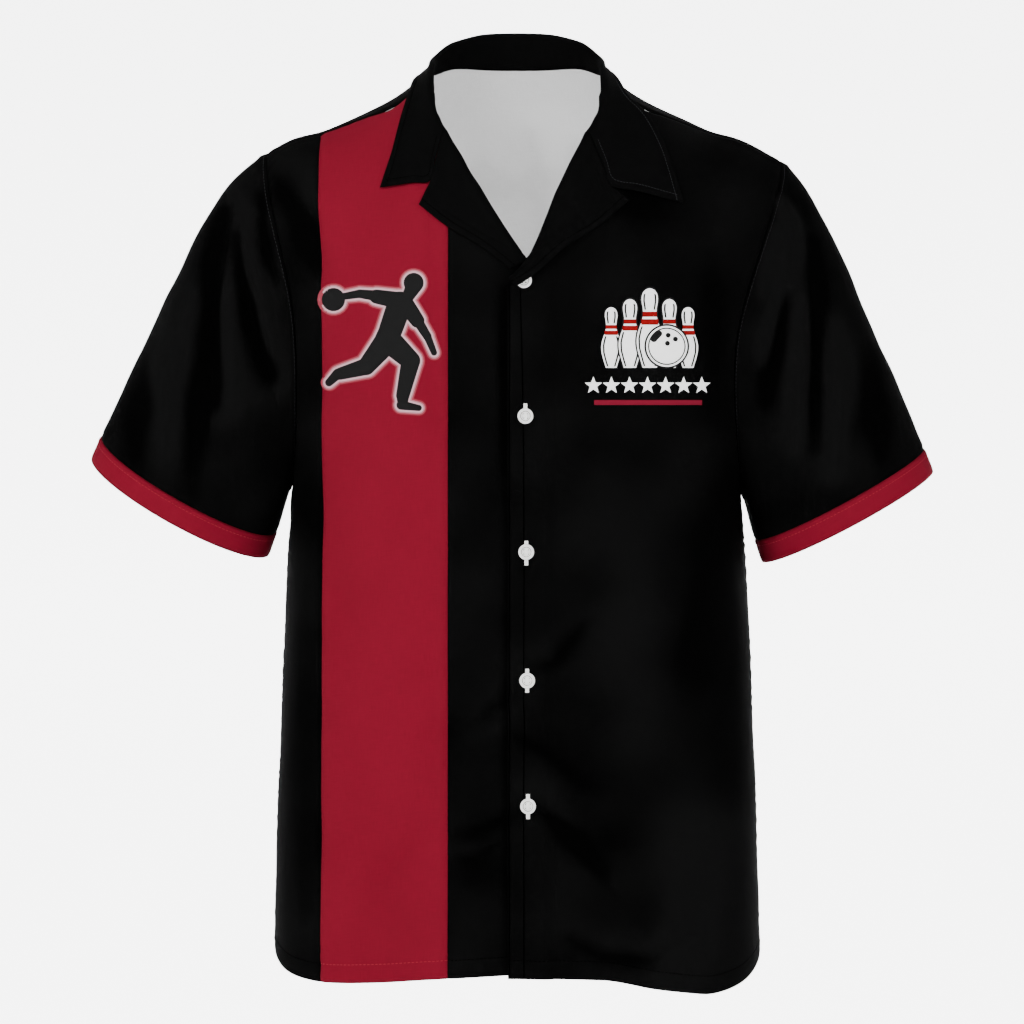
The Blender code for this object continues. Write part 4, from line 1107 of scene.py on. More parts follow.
class Finishes:
    """Every finish of the shirt, each made once."""

    def __init__(self) -> None:
        """Make every finish."""
        # black shirting: the dull deep black of the body, lifted where threads stand up, with strong
        # painted shade in crease troughs and painted light on ridges
        self.black = WovenCloth(
            "black_shirting", "#010101", "#0E0E0E", slub=0.16, sheen=0.0, shine=0.02, fold=1.2
        ).build()
        # the same cloth dyed red, with the slightly lighter threads that give it depth, and a weak
        # painted fold shade
        self.red = WovenCloth(
            "red_shirting", "#701022", "#82142A", slub=0.24, sheen=0.0, shine=0.04
        ).build()
        # the unprinted reverse: pale grey with a fine diagonal and painted fold shade
        # the reverse also gives off a painted glow
        self.reverse = WovenCloth(
            "shirting_reverse", "#D6D6D6", "#F6F6F6", slub=0.2, sheen=0.0, twill=0.6, fold=0.8,
            painted_glow=0.16
        ).build()
        # deep black thread, so the topstitching shows only as a fine dark row; on the placket it is
        # also laid thick as painted shadow lines
        self.black_thread = PlainFinish("black_thread", "#000000", 0.80, 0.25, 0.00004, 0.0).build()
        # greyer thread of the armholes and the left collar end, which shows as a faint line
        self.grey_thread = PlainFinish("grey_thread", "#2C2C2E", 0.66, 0.25, 0.00004, 0.1).build()
        # turned-in cloth behind the seams, seen only as a dark line in their gaps
        self.inside = PlainFinish("black_seam_allowance", "#020202", 0.9, 0.5, 0.00003, 0.0).build()
        # red thread a shade above the red cloth
        self.red_thread = PlainFinish("red_thread", "#A32A38", 0.62, 0.25, 0.00004, 0.1).build()
        # bright white thread of the buttonholes and the button shanks, with a painted glow
        self.white_thread = PlainFinish(
            "white_thread", "#FAFAF8", 0.58, 0.25, 0.00004, 0.2, 0.5
        ).build()
        # flat screen inks, a little smoother than the cloth under them
        self.black_ink = PlainFinish(
            "black_screen_ink", "#1B1B1B", 0.75, 0.8, 0.00006, 0.05
        ).build()
        self.pale_ink = PlainFinish(
            "pale_pink_screen_ink", "#DDB4BB", 0.70, 0.8, 0.00006, 0.1
        ).build()
        self.rose_ink = PlainFinish("rose_screen_ink", "#C17681", 0.70, 0.8, 0.00006, 0.1).build()
        self.dusk_ink = PlainFinish(
            "dusky_rose_screen_ink", "#9E3C4A", 0.70, 0.8, 0.00006, 0.1
        ).build()
        # the white ink gives off a painted glow
        self.white_ink = PlainFinish(
            "white_screen_ink", "#FAFAF9", 0.70, 0.8, 0.00006, 0.1, 0.9
        ).build()
        self.red_ink = PlainFinish("red_screen_ink", "#94040B", 0.70, 0.8, 0.00006, 0.1).build()
        self.crimson_ink = PlainFinish(
            "crimson_screen_ink", "#7E102A", 0.70, 0.8, 0.00006, 0.1
        ).build()
        # glossy white resin of the buttons, with a painted glow
        self.resin = ButtonResin().build()
        # the same resin, greyer, in the button's dish where it rises to the rim, with a faint painted
        # glow
        self.dish = ButtonResin("dished_button_resin", "#A9A8A4", "#CFCFCB", 0.05).build()


# ---------------------------------------------------------------- cloth pieces


@dataclass(frozen=True)
class Border:
    """How one border of a piece ends.

    Attributes:
        dip: how far the cloth turns in at the very edge.
        fade: distance over which creases die away towards it.
        swell: height of the soft ridge that a seam's spare cloth makes beside it.
        pucker: height of the small gathers that its stitching makes.
        hem: distance of a hem's stitching from the edge, or 0 without a hem.
    """

    dip: float = 0.0003
    fade: float = 0.0
    swell: float = 0.0
    pucker: float = 0.0
    hem: float = 0.0


SEAM = Border(dip=0.0010, swell=0.00025, pucker=0.00022)
SET_IN = Border(dip=0.0012, fade=0.010, swell=0.00040, pucker=0.00050)
SIDE_SEAM = Border(dip=0.0009, fade=0.030, pucker=0.00030)
FREE = Border(dip=0.0005)
HEM_EDGE = Border(dip=0.0005, pucker=0.00030, hem=0.0135)
FRONT_EDGE = Border(dip=0.0008, hem=0.0050)


@dataclass(frozen=True)
class Cut:
    """The flat size a piece was cut to.

    Attributes:
        width: across, in metres.
        length: along, in metres.
        area: flat area, in square metres, where the cut isn't a rectangle.
    """

    width: float
    length: float
    area: float


@dataclass
class Trail:
    """A line on the cloth, with the cloth's normal beside each place."""

    points: np.ndarray
    normals: np.ndarray

    def part(self, start: float, end: float) -> "Trail":
        """The stretch between two shares of its rows."""
        count = len(self.points)
        a, b = int(start * (count - 1)), int(end * (count - 1)) + 1
        return Trail(self.points[a:b], self.normals[a:b])


class ClothGrid:
    """A fine grid of the visible face of one piece of cloth."""

    def __init__(
        self,
        base: np.ndarray,
        outward: Callable[[np.ndarray], np.ndarray],
        closed: bool = False,
    ) -> None:
        """Take the face's places, and which way is out.

        Args:
            base: fine grid of places, shape (rows, columns, 3).
            outward: gives a rough way out for each place.
            closed: whether the columns run round a ring.
        """
        self.points = base
        self.closed = closed
        self.outward = outward
        # painted fold shade per point, 0.5 where the cloth lies flat
        self.painted_fold_shade = np.full(self.points.shape[:2], 0.5)
        self.normals = self._normals()

    def _normals(self) -> np.ndarray:
        """The way out at each point."""
        up = np.gradient(self.points, axis=0)
        if self.closed:
            across = np.roll(self.points, -1, axis=1) - np.roll(self.points, 1, axis=1)
        else:
            across = np.gradient(self.points, axis=1)
        normals = unit(np.cross(across, up))
        if float((normals * self.outward(self.points)).sum(axis=-1).mean()) < 0.0:
            normals = -normals
        return normals

    def spans(self) -> tuple[np.ndarray, np.ndarray]:
        """Distances along the rows, from the first column, and up the columns."""
        across = np.linalg.norm(np.diff(self.points, axis=1), axis=-1)
        up = np.linalg.norm(np.diff(self.points, axis=0), axis=-1)
        across = np.concatenate(
            [np.zeros((len(self.points), 1)), np.cumsum(across, axis=1)], axis=1
        )
        up = np.concatenate([np.zeros((1, self.points.shape[1])), np.cumsum(up, axis=0)], axis=0)
        return across, up

    def away(self, edge: Edge) -> tuple[np.ndarray, np.ndarray]:
        """Distance from a border, and distance along it, at every place."""
        across, up = self.spans()
        if edge is Edge.FIRST_COLUMN:
            return across, up
        if edge is Edge.LAST_COLUMN:
            return across[:, -1:] - across, up
        if edge is Edge.FIRST_ROW:
            return up, across
        return up[-1:, :] - up, across

    def move(self, out: np.ndarray) -> None:
        """Move every place along its normal, then work the normals out again."""
        self.points = self.points + self.normals * out[..., None]
        self.normals = self._normals()

    def work(self, borders: dict[Edge, Border], creases: np.ndarray) -> None:
        """Push in the creases, then the seams, hems and gathers at the borders, and work out the
        painted fold shade from how far each place moves.

        Args:
            borders: how each border ends.
            creases: how far the creases move each place out.
        """
        out = creases
        for edge, border in borders.items():
            if border.fade:
                out = out * smooth(self.away(edge)[0] / border.fade)
        for edge, border in borders.items():
            off, run = self.away(edge)
            out = out - border.dip * np.exp(-((off / 0.0013) ** 2))
            out = out + border.swell * np.exp(-(((off - 0.0045) / 0.0028) ** 2))
            if border.hem:
                out = out - 0.00040 * np.exp(-(((off - border.hem) / 0.0011) ** 2))
                out = out + 0.00022 * smooth((border.hem - off) / 0.003)
            if border.pucker:
                reach = border.hem if border.hem else 0.0045
                wave = 2.0 * np.pi * (run + 0.55 * off) / 0.0098
                wave = wave + 1.6 * np.sin(run * 97.0) + 1.1 * np.sin(run * 41.0 + 1.0)
                strong = 0.55 + 0.45 * np.sin(run * 63.0 + 0.7)
                around = np.exp(-(((off - reach) / 0.0062) ** 2))
                out = out + border.pucker * strong * np.sin(wave) * around
        # painted fold shade: lighter where creases and seams push the cloth out, darker where they push
        # it in
        self.painted_fold_shade = np.clip(0.5 + creases / 0.0042 + out / 0.012, 0.0, 1.0)
        self.move(out)

    def inset(self, edge: Edge, distance: float) -> Trail:
        """A line on the cloth at a distance from a border."""
        points, normals = self.points, self.normals
        if edge in (Edge.FIRST_ROW, Edge.LAST_ROW):
            points, normals = np.swapaxes(points, 0, 1), np.swapaxes(normals, 0, 1)
        if edge in (Edge.LAST_ROW, Edge.LAST_COLUMN):
            points, normals = points[:, ::-1], normals[:, ::-1]
        places, ways = [], []
        for row, way in zip(points, normals):
            run = np.concatenate([[0.0], np.cumsum(np.linalg.norm(np.diff(row, axis=0), axis=1))])
            k = min(max(int(np.searchsorted(run, distance)), 1), len(run) - 1)
            share = (distance - run[k - 1]) / max(run[k] - run[k - 1], 1e-9)
            places.append(mix(row[k - 1], row[k], min(share, 1.0)))
            ways.append(way[k])
        return Trail(np.array(places), np.array(ways))

    def faces(self) -> list[tuple[int, int, int, int]]:
        """Quads of the grid, as numbers of its places row by row."""
        rows, columns = self.points.shape[:2]
        wide = columns if self.closed else columns - 1
        i, j = np.meshgrid(np.arange(rows - 1), np.arange(wide), indexing="ij")
        k = (j + 1) % columns
        quads = np.stack(
            [i * columns + j, i * columns + k, (i + 1) * columns + k, (i + 1) * columns + j],
            axis=-1
        )
        return quads.reshape(-1, 4)

    def rims(self) -> list[np.ndarray]:
        """Border loops, as numbers of the places in order round each."""
        rows, columns = self.points.shape[:2]
        index = np.arange(rows * columns).reshape(rows, columns)
        if self.closed:
            return [index[0], index[-1]]
        around = [index[0, :-1], index[:-1, -1], index[-1, :0:-1], index[:0:-1, 0]]
        return [np.concatenate(around)]


def shell(
    name: str,
    grid: ClothGrid,
    thickness: float,
    face: bpy.types.Material,
    back: bpy.types.Material,
) -> bpy.types.Object:
    """A closed thin shell of cloth under a grid, with rounded edges.

    Args:
        name: the object's name.
        grid: the visible face.
        thickness: how thick the cloth is.
        face: finish of the visible face and of the edges.
        back: finish of the reverse.

    Returns:
        The object, with a map named Cloth in metres.
    """
    outer = grid.points.reshape(-1, 3)
    inner = outer - grid.normals.reshape(-1, 3) * thickness
    across, up = grid.spans()
    flat = np.stack([across, up], axis=-1).reshape(-1, 2)
    quads = grid.faces()
    count = len(outer)
    vertices = [outer, inner]
    maps = [flat, flat]
    faces = [quads, quads[:, ::-1] + count]
    finish = [np.zeros(len(quads), int), np.ones(len(quads), int)]
    base = 2 * count
    centre = outer.mean(axis=0)
    for rim in grid.rims():
        edge_out, edge_in = outer[rim], inner[rim]
        run = np.roll(edge_out, -1, axis=0) - np.roll(edge_out, 1, axis=0)
        away = unit(np.cross(run, edge_out - edge_in))
        beside = (np.roll(edge_out, -1, axis=0) + np.roll(edge_out, 1, axis=0)) / 2.0
        if float((away * (beside - centre)).sum(axis=1).mean()) < 0.0:
            away = -away
        middle = (edge_out + edge_in) / 2.0 + away * thickness * 0.4
        vertices.append(middle)
        maps.append(flat[rim])
        here = np.arange(len(rim))
        there = np.roll(here, -1)
        upper = np.stack([rim[here], base + here, base + there, rim[there]], axis=1)
        lower = np.stack([base + here, rim[here] + count, rim[there] + count, base + there], axis=1)
        faces += [upper, lower]
        finish += [np.zeros(len(rim), int), np.zeros(len(rim), int)]
        base += len(rim)
    mesh = bpy.data.meshes.new(name)
    all_faces = np.concatenate(faces)
    mesh.from_pydata(np.concatenate(vertices).tolist(), [], all_faces.tolist())
    mesh.materials.append(face)
    mesh.materials.append(back)
    mesh.polygons.foreach_set("material_index", np.concatenate(finish).astype(np.int32))
    layer = mesh.uv_layers.new(name="Cloth")
    corners = np.concatenate(maps)[all_faces.reshape(-1)]
    layer.data.foreach_set("uv", corners.astype(np.float32).reshape(-1))
    # the painted fold shade rides on every point, faces and rims alike
    painted_fold_shade = grid.painted_fold_shade.reshape(-1)
    painted_fold_shades = [painted_fold_shade, painted_fold_shade] + [painted_fold_shade[rim] for rim in grid.rims()]
    store = mesh.attributes.new("painted_fold_shade", "FLOAT", "POINT")
    store.data.foreach_set("value", np.concatenate(painted_fold_shades).astype(np.float32))
    outward_shell(mesh)
    made = bpy.data.objects.new(name, mesh)
    bpy.context.scene.collection.objects.link(made)
    return made


def outward_shell(mesh: bpy.types.Mesh) -> None:
    """Turn a closed mesh's faces outwards and shade it smooth."""
    build = bmesh.new()
    build.from_mesh(mesh)
    bmesh.ops.recalc_face_normals(build, faces=build.faces)
    if build.calc_volume(signed=True) < 0.0:
        bmesh.ops.reverse_faces(build, faces=build.faces)
    build.to_mesh(mesh)
    build.free()
    mesh.shade_smooth()


def level_outward(points: np.ndarray) -> np.ndarray:
    """Rough way out of the body: away from its upright middle line."""
    return points * np.array((1.0, 1.0, 0.0)) + np.array((0.0, 0.0, 0.05))


@dataclass
class BodyPanel:
    """One cut piece of the fronts or the back.

    Attributes:
        node: the solid that it stands for.
        grid: coarse places of its inner face.
        creases: its creases.
        borders: how its borders end.
        cut: its flat size; not used.
        face: finish of its visible face.
        slot: the name of its kind of cloth; not used.
        lift: how far it rises over what lies under it, at a distance from the middle.
    """

    node: str
    grid: list
    creases: tuple[Crease, ...]
    borders: dict[Edge, Border]
    cut: Cut
    face: bpy.types.Material
    slot: str
    lift: Callable[[np.ndarray], np.ndarray] | None = None
    cloth: ClothGrid = field(init=False)

    def build(self, reverse: bpy.types.Material) -> bpy.types.Object:
        """Make the panel and hang it on the frame."""
        self.cloth = ClothGrid(refined(self.grid, WEAVE_STEP), level_outward)
        place = self.cloth.points
        out = relief(place, self.creases) + 0.00075 * unevenness(place[..., 0], place[..., 2])
        rise = np.full(place.shape[:2], CLOTH)
        if self.lift is not None:
            rise = rise + self.lift(place[..., 0])
        self.cloth.work(self.borders, out)
        self.cloth.move(rise)
        made = shell("shirt_" + self.node, self.cloth, SHELL, self.face, reverse)
        return hung(made, self.node)


def ribbon(
    name: str, top: np.ndarray, normals: np.ndarray, finish: bpy.types.Material
) -> bpy.types.Object:
    """A closed thin strip of turned-in cloth.

    Args:
        name: the object's name.
        top: places of its outer face, shape (places along, 3 across, 3).
        normals: the way out beside each place along it.
        finish: its finish.

    Returns:
        The strip, riding on the frame.
    """
    strip = np.stack([top, top - normals[:, None] * 0.0004], axis=0)
    count = top.shape[0]
    index = np.arange(2 * count * 3).reshape(2, count, 3)
    a, b = index[0], index[1]
    faces = []
    for k in range(count - 1):
        for m in range(2):
            faces.append((a[k, m], a[k, m + 1], a[k + 1, m + 1], a[k + 1, m]))
            faces.append((b[k, m], b[k + 1, m], b[k + 1, m + 1], b[k, m + 1]))
        faces.append((a[k, 0], a[k + 1, 0], b[k + 1, 0], b[k, 0]))
        faces.append((a[k, 2], b[k, 2], b[k + 1, 2], a[k + 1, 2]))
    for k in (0, count - 1):
        for m in range(2):
            faces.append((a[k, m], b[k, m], b[k, m + 1], a[k, m + 1]))
    mesh = bpy.data.meshes.new(name)
    mesh.from_pydata(strip.reshape(-1, 3).tolist(), [], [[int(v) for v in f] for f in faces])
    mesh.materials.append(finish)
    outward_shell(mesh)
    made = bpy.data.objects.new(name, mesh)
    bpy.context.scene.collection.objects.link(made)
    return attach(made, "root")


def allowance(
    name: str,
    grid: ClothGrid,
    edge: Edge,
    finish: bpy.types.Material,
    reach: float = 0.0050,
    sink: float = 0.0015,
) -> bpy.types.Object:
    """The turned-in cloth behind a seam, which closes the view through its gap.

    Args:
        name: the object's name.
        grid: the piece it belongs to.
        edge: the border it follows.
        finish: its finish.
        reach: how far it goes each way from the border.
        sink: how far it lies under the face.

    Returns:
        The strip, riding on the frame.
    """
    inner, border = grid.inset(edge, reach), grid.inset(edge, 0.0)
    beyond = border.points + unit(border.points - inner.points) * reach
    beyond = beyond - border.normals * 0.0008
    rows = [inner.points, border.points, beyond]
    top = np.stack([row - border.normals * sink for row in rows], axis=1)
    return ribbon(name, top, border.normals, finish)


def armhole_tape(
    name: str,
    sleeve: ClothGrid,
    sides: Sequence[tuple[ClothGrid, Edge]],
    finish: bpy.types.Material,
    reach: float = 0.0035,
    sink: float = 0.0016,
) -> bpy.types.Object:
    """The allowance from a sleeve's top across its seam to the body, all round the armhole.

    Args:
        name: the object's name.
        sleeve: the sleeve's face.
        sides: the panels round the armhole, each with the border that meets the sleeve.
        finish: its finish.
        reach: how far it goes each way from the seam.
        sink: how far it lies under the faces.

    Returns:
        The strip, riding on the frame.
    """
    inner, border = sleeve.inset(Edge.FIRST_ROW, reach), sleeve.inset(Edge.FIRST_ROW, 0.0)
    brinks = [grid.inset(edge, 0.0) for grid, edge in sides]
    depths = [grid.inset(edge, reach) for grid, edge in sides]
    brink = np.concatenate([trail.points for trail in brinks])
    depth = np.concatenate([t.points - t.normals * sink for t in depths])
    sunk = np.concatenate([t.points - t.normals * sink for t in brinks])
    near = np.linalg.norm(border.points[:, None] - brink[None], axis=-1).argmin(axis=1)
    middle = (border.points - border.normals * sink + sunk[near]) / 2.0
    top = np.stack([inner.points - border.normals * sink, middle, depth[near]], axis=1)
    top = np.concatenate([top, top[:2]], axis=0)
    normals = np.concatenate([border.normals, border.normals[:2]], axis=0)
    return ribbon(name, top, normals, finish)


def hung(
    made: bpy.types.Object, node: str
) -> bpy.types.Object:
    """Hang a cloth piece on the frame in its solid's place, and hide the solid."""
    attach(made, "root")
    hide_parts(node)
    return made


@dataclass
class Sleeve:
    """A set-in sleeve and the band round its hem.

    Attributes:
        side: the wearer's side.
        cut: flat size of the sleeve, all round; not used.
        band_cut: flat size of the band, all round; not used.
    """

    side: Side
    cut: Cut
    band_cut: Cut
    cloth: ClothGrid = field(init=False)
    band: ClothGrid = field(init=False)

    def outward(self, points: np.ndarray) -> np.ndarray:
        """Rough way out of the sleeve: away from the middle of each ring."""
        return points - points.mean(axis=1, keepdims=True)

    def build(self, finishes: Finishes) -> list[bpy.types.Object]:
        """Make the sleeve and its band."""
        sleeve, band = ShirtForm.sleeve_grid(self.side)
        self.cloth = ClothGrid(refined(sleeve, WEAVE_STEP, closed=True), self.outward, closed=True)
        places = self.cloth.points
        creases = tuple(replace(c, depth=c.depth * 1.5) for c in SLEEVE_CREASES[self.side])
        behind = smooth((places[..., 1] + 0.012) / 0.036)
        moved = places + np.array((self.side.value * 0.010, 0.0, 0.012))
        out = mix(relief(places, creases), 0.8 * relief(moved, creases), behind)
        out = out + 0.0008 * unevenness(places[..., 2] * 1.3, places[..., 0] + places[..., 1])
        borders = {
            Edge.FIRST_ROW: SET_IN, Edge.LAST_ROW: Border(dip=0.0009, fade=0.016, pucker=0.0002)
        }
        self.cloth.work(borders, out)
        self.cloth.move(np.full(places.shape[:2], CLOTH))
        self.band = ClothGrid(
            refined(band, WEAVE_STEP * 0.8, closed=True), self.outward, closed=True
        )
        flat = np.zeros(self.band.points.shape[:2])
        edges = {
            Edge.FIRST_ROW: Border(dip=0.0008, swell=0.0003, pucker=0.0003, hem=0.0046),
            Edge.LAST_ROW: Border(dip=0.0005),
        }
        self.band.work(edges, flat)
        self.band.move(flat + CLOTH)
        name = self.side.name.lower()
        made = shell("shirt_sleeve_" + name, self.cloth, SHELL, finishes.black, finishes.reverse)
        hung(made, "sleeve_" + name)
        band = shell("shirt_cuff_band_" + name, self.band, SHELL, finishes.red, finishes.red)
        hung(band, "cuff_band_" + name)
        return [made, band]


@dataclass(frozen=True)
class Station:
    """One place along a folded strip: leg, fold, middle and edge, gap, and lift."""

    leg: np.ndarray
    fold: np.ndarray
    middle: np.ndarray
    edge: np.ndarray
    gap: float
    lift: float = 0.0


class FoldedStrip:
    """The collar, or a lapel: a leg inside the neck, a rolled fold, and a fall outside."""

    FALL = (0.10, 0.22, 0.36, 0.50, 0.64, 0.78, 0.90, 1.0)
    THICK = 0.0013

    def __init__(self, stations: list[Station]) -> None:
        """Take the stations, with one more between each two."""
        self.stations = self.doubled(stations)
        self.cloth: ClothGrid | None = None

    @staticmethod
    def on_front(x: float, z: float) -> np.ndarray:
        """Place on the fronts' inner face."""
        return ShirtForm.point(x, z, FRONT)

    @classmethod
    def leg_start(cls, fold: tuple, before: tuple, after: tuple, side: Side) -> np.ndarray:
        """Where a strip meets its front's edge, one leg inside the fold."""
        run = unit(np.array(after) - np.array(before))
        away = np.array((run[1], -run[0])) * -side.value
        place = np.array(fold) + away * (ROLL_LEG - SEAM_GAP)
        return cls.on_front(place[0], place[1])

    @staticmethod
    def doubled(stations: list[Station]) -> list[Station]:
        """The stations with one more between each two, on a smooth curve."""
        last = len(stations) - 1
        made = [stations[0]]
        for k in range(last):
            four = [stations[min(max(i, 0), last)] for i in (k - 1, k, k + 1, k + 2)]

            def curved(name: str) -> np.ndarray:
                """A place halfway between two stations, on a curve through four."""
                a, b, c, d = (getattr(station, name) for station in four)
                return (9.0 * (b + c) - a - d) / 16.0

            made.append(
                Station(
                    mix(four[1].leg, four[2].leg, 0.5),
                    curved("fold"),
                    curved("middle"),
                    curved("edge"),
                    mix(four[1].gap, four[2].gap, 0.5),
                    mix(four[1].lift, four[2].lift, 0.5),
                )
            )
            made.append(stations[k + 1])
        return made

    def path(self, k: int) -> list[np.ndarray]:
        """Middle line of the strip's cloth at a station, from the leg to the edge."""
        station = self.stations[k]
        folds = [s.fold for s in self.stations]
        tangent = unit(folds[min(k + 1, len(folds) - 1)] - folds[max(k - 1, 0)])
        over = unit(station.fold - station.leg)
        out = unit(np.cross(tangent, over))
        if float(out @ np.array((station.fold[0], station.fold[1], 0.0))) < 0:
            out = -out
        radius = (CLOTH + station.gap) / 2.0
        centre = station.fold + over * (0.0009 + CLOTH / 2.0 - radius)
        centre = centre + out * (CLOTH / 2.0 + radius)
        points = [station.leg + out * CLOTH / 2.0]
        leg_top = centre - out * radius
        points.append(mix(points[0], leg_top, 0.55))
        for angle in (180.0, 140.0, 100.0, 60.0, 20.0):
            turn = math.radians(angle)
            points.append(centre + (out * math.cos(turn) + over * math.sin(turn)) * radius)
        start = station.fold + out * (CLOTH + station.gap)
        for share in self.FALL:
            if share <= 0.5:
                place = mix(start, station.middle, share * 2.0)
            else:
                place = mix(station.middle, station.edge, share * 2.0 - 1.0)
            place = ShirtForm.lifted(place, CLOTH + station.gap + station.lift + COLLAR_EASE)
            way = unit(mix(out, ShirtForm.normal(place), min(share * 2.0, 1.0)))
            points.append(place + way * CLOTH * 0.58)
        return points

    def build(self, name: str, finish: bpy.types.Material, dents: tuple = ()) -> bpy.types.Object:
        """Make the strip.

        Args:
            name: the object's name.
            finish: its cloth.
            dents: creases on its fall.

        Returns:
            The object.
        """
        grid = np.array([self.path(k) for k in range(len(self.stations))])
        fine = spline(grid, int(len(grid) * 6))
        columns = np.swapaxes(fine, 0, 1)
        fine = np.swapaxes(spline(columns, 46), 0, 1)

        def outward(points: np.ndarray) -> np.ndarray:
            """Away from the body on the fall, which settles the normals' side."""
            way = np.zeros_like(points)
            way[:, -14:] = points[:, -14:] * np.array((1.0, 1.0, 0.0)) + np.array((0, 0, 0.05))
            return way

        self.cloth = ClothGrid(fine, outward)
        off_edge = self.cloth.away(Edge.LAST_COLUMN)[0]
        off_ends = np.minimum(self.cloth.away(Edge.FIRST_ROW)[0], self.cloth.away(Edge.LAST_ROW)[0])
        off = np.minimum(off_edge, off_ends)
        outside = smooth((0.060 - off_edge) / 0.020)
        out = -0.00035 * np.exp(-(((off - 0.0052) / 0.0011) ** 2)) * outside
        out = out + 0.00030 * np.exp(-(((off - 0.0026) / 0.0016) ** 2)) * outside
        place = self.cloth.points
        out = out + 0.00035 * unevenness(place[..., 0] * 1.5, place[..., 2] * 1.5) * outside
        out = out + relief(place, dents) * outside + self.THICK / 2.0
        self.cloth.move(out)
        return shell(name, self.cloth, self.THICK, finish, finish)


class Collar(FoldedStrip):
    """The camp collar, from the right front end round the neck to the left."""

    def __init__(self, cut: Cut) -> None:
        """Lay out the stations from the right end round the neck to the left."""
        self.cut = cut
        right, left = self.half(RIGHT), self.half(LEFT)
        super().__init__(right[::-1] + left[1:])

    def half(self, side: Side) -> list[Station]:
        """Stations of one half, from the back's middle to its front end."""
        sign = side.value
        stations = []
        for (nx, ny), (fx, fy, fz), right, left, gap in COLLAR_BACK:
            ex, ey = right if side is RIGHT else left
            neck = ShirtForm.top_point(sign * nx, ny)
            fold = np.array((sign * fx, fy, fz))
            over = unit(fold - neck)
            clear = CLOTH * max(float(ShirtForm.normal(neck) @ over), 0.0)
            neck = neck + over * (SEAM_GAP + clear)
            edge = ShirtForm.top_point(sign * ex, ey)
            stations.append(Station(neck, fold, (fold + edge) / 2.0, edge, gap))
        places = [row[0] for row in COLLAR_FRONT] + [COLLAR_END[side][0]]
        places = [(sign * x, z) for x, z in places]
        for k, ((fx, fz), right, left, gap) in enumerate(COLLAR_FRONT):
            ex, ez = right if side is RIGHT else left
            fold = self.on_front(sign * fx, fz)
            edge = self.on_front(sign * ex, ez)
            neck = self.leg_start(places[k], places[max(k - 1, 0)], places[k + 1], side)
            stations.append(Station(neck, fold, (fold + edge) / 2.0, edge, gap))
        end, notch, point = ((sign * x, z) for x, z in COLLAR_END[side])
        neck = self.leg_start(end, places[-2], end, side)
        on = self.on_front
        stations.append(Station(neck, on(*end), on(*notch), on(*point), 0.0006))
        return stations


class Lapel(FoldedStrip):
    """The part of a front that is turned back over it, below the collar's notch."""

    def __init__(self, side: Side, cut: Cut) -> None:
        """Lay out the stations down one side of the opening."""
        self.side = side
        self.cut = cut
        rows = LAPEL[side]
        stations = []
        for k, (fold, middle, edge, gap) in enumerate(rows):
            before, after = rows[max(k - 1, 0)][0], rows[min(k + 1, len(rows) - 1)][0]
            points = [self.leg_start(fold, before, after, side)]
            points += [self.on_front(*place) for place in (fold, middle, edge)]
            lift = 0.0
            if side is LEFT:
                points = [p + ShirtForm.normal(p) * overlap_lift(p[0]) for p in points]
                lift = float(overlap_lift(fold[0]))
            stations.append(Station(*points, gap, lift))
        super().__init__(stations)


# ---------------------------------------------------------------- stitches


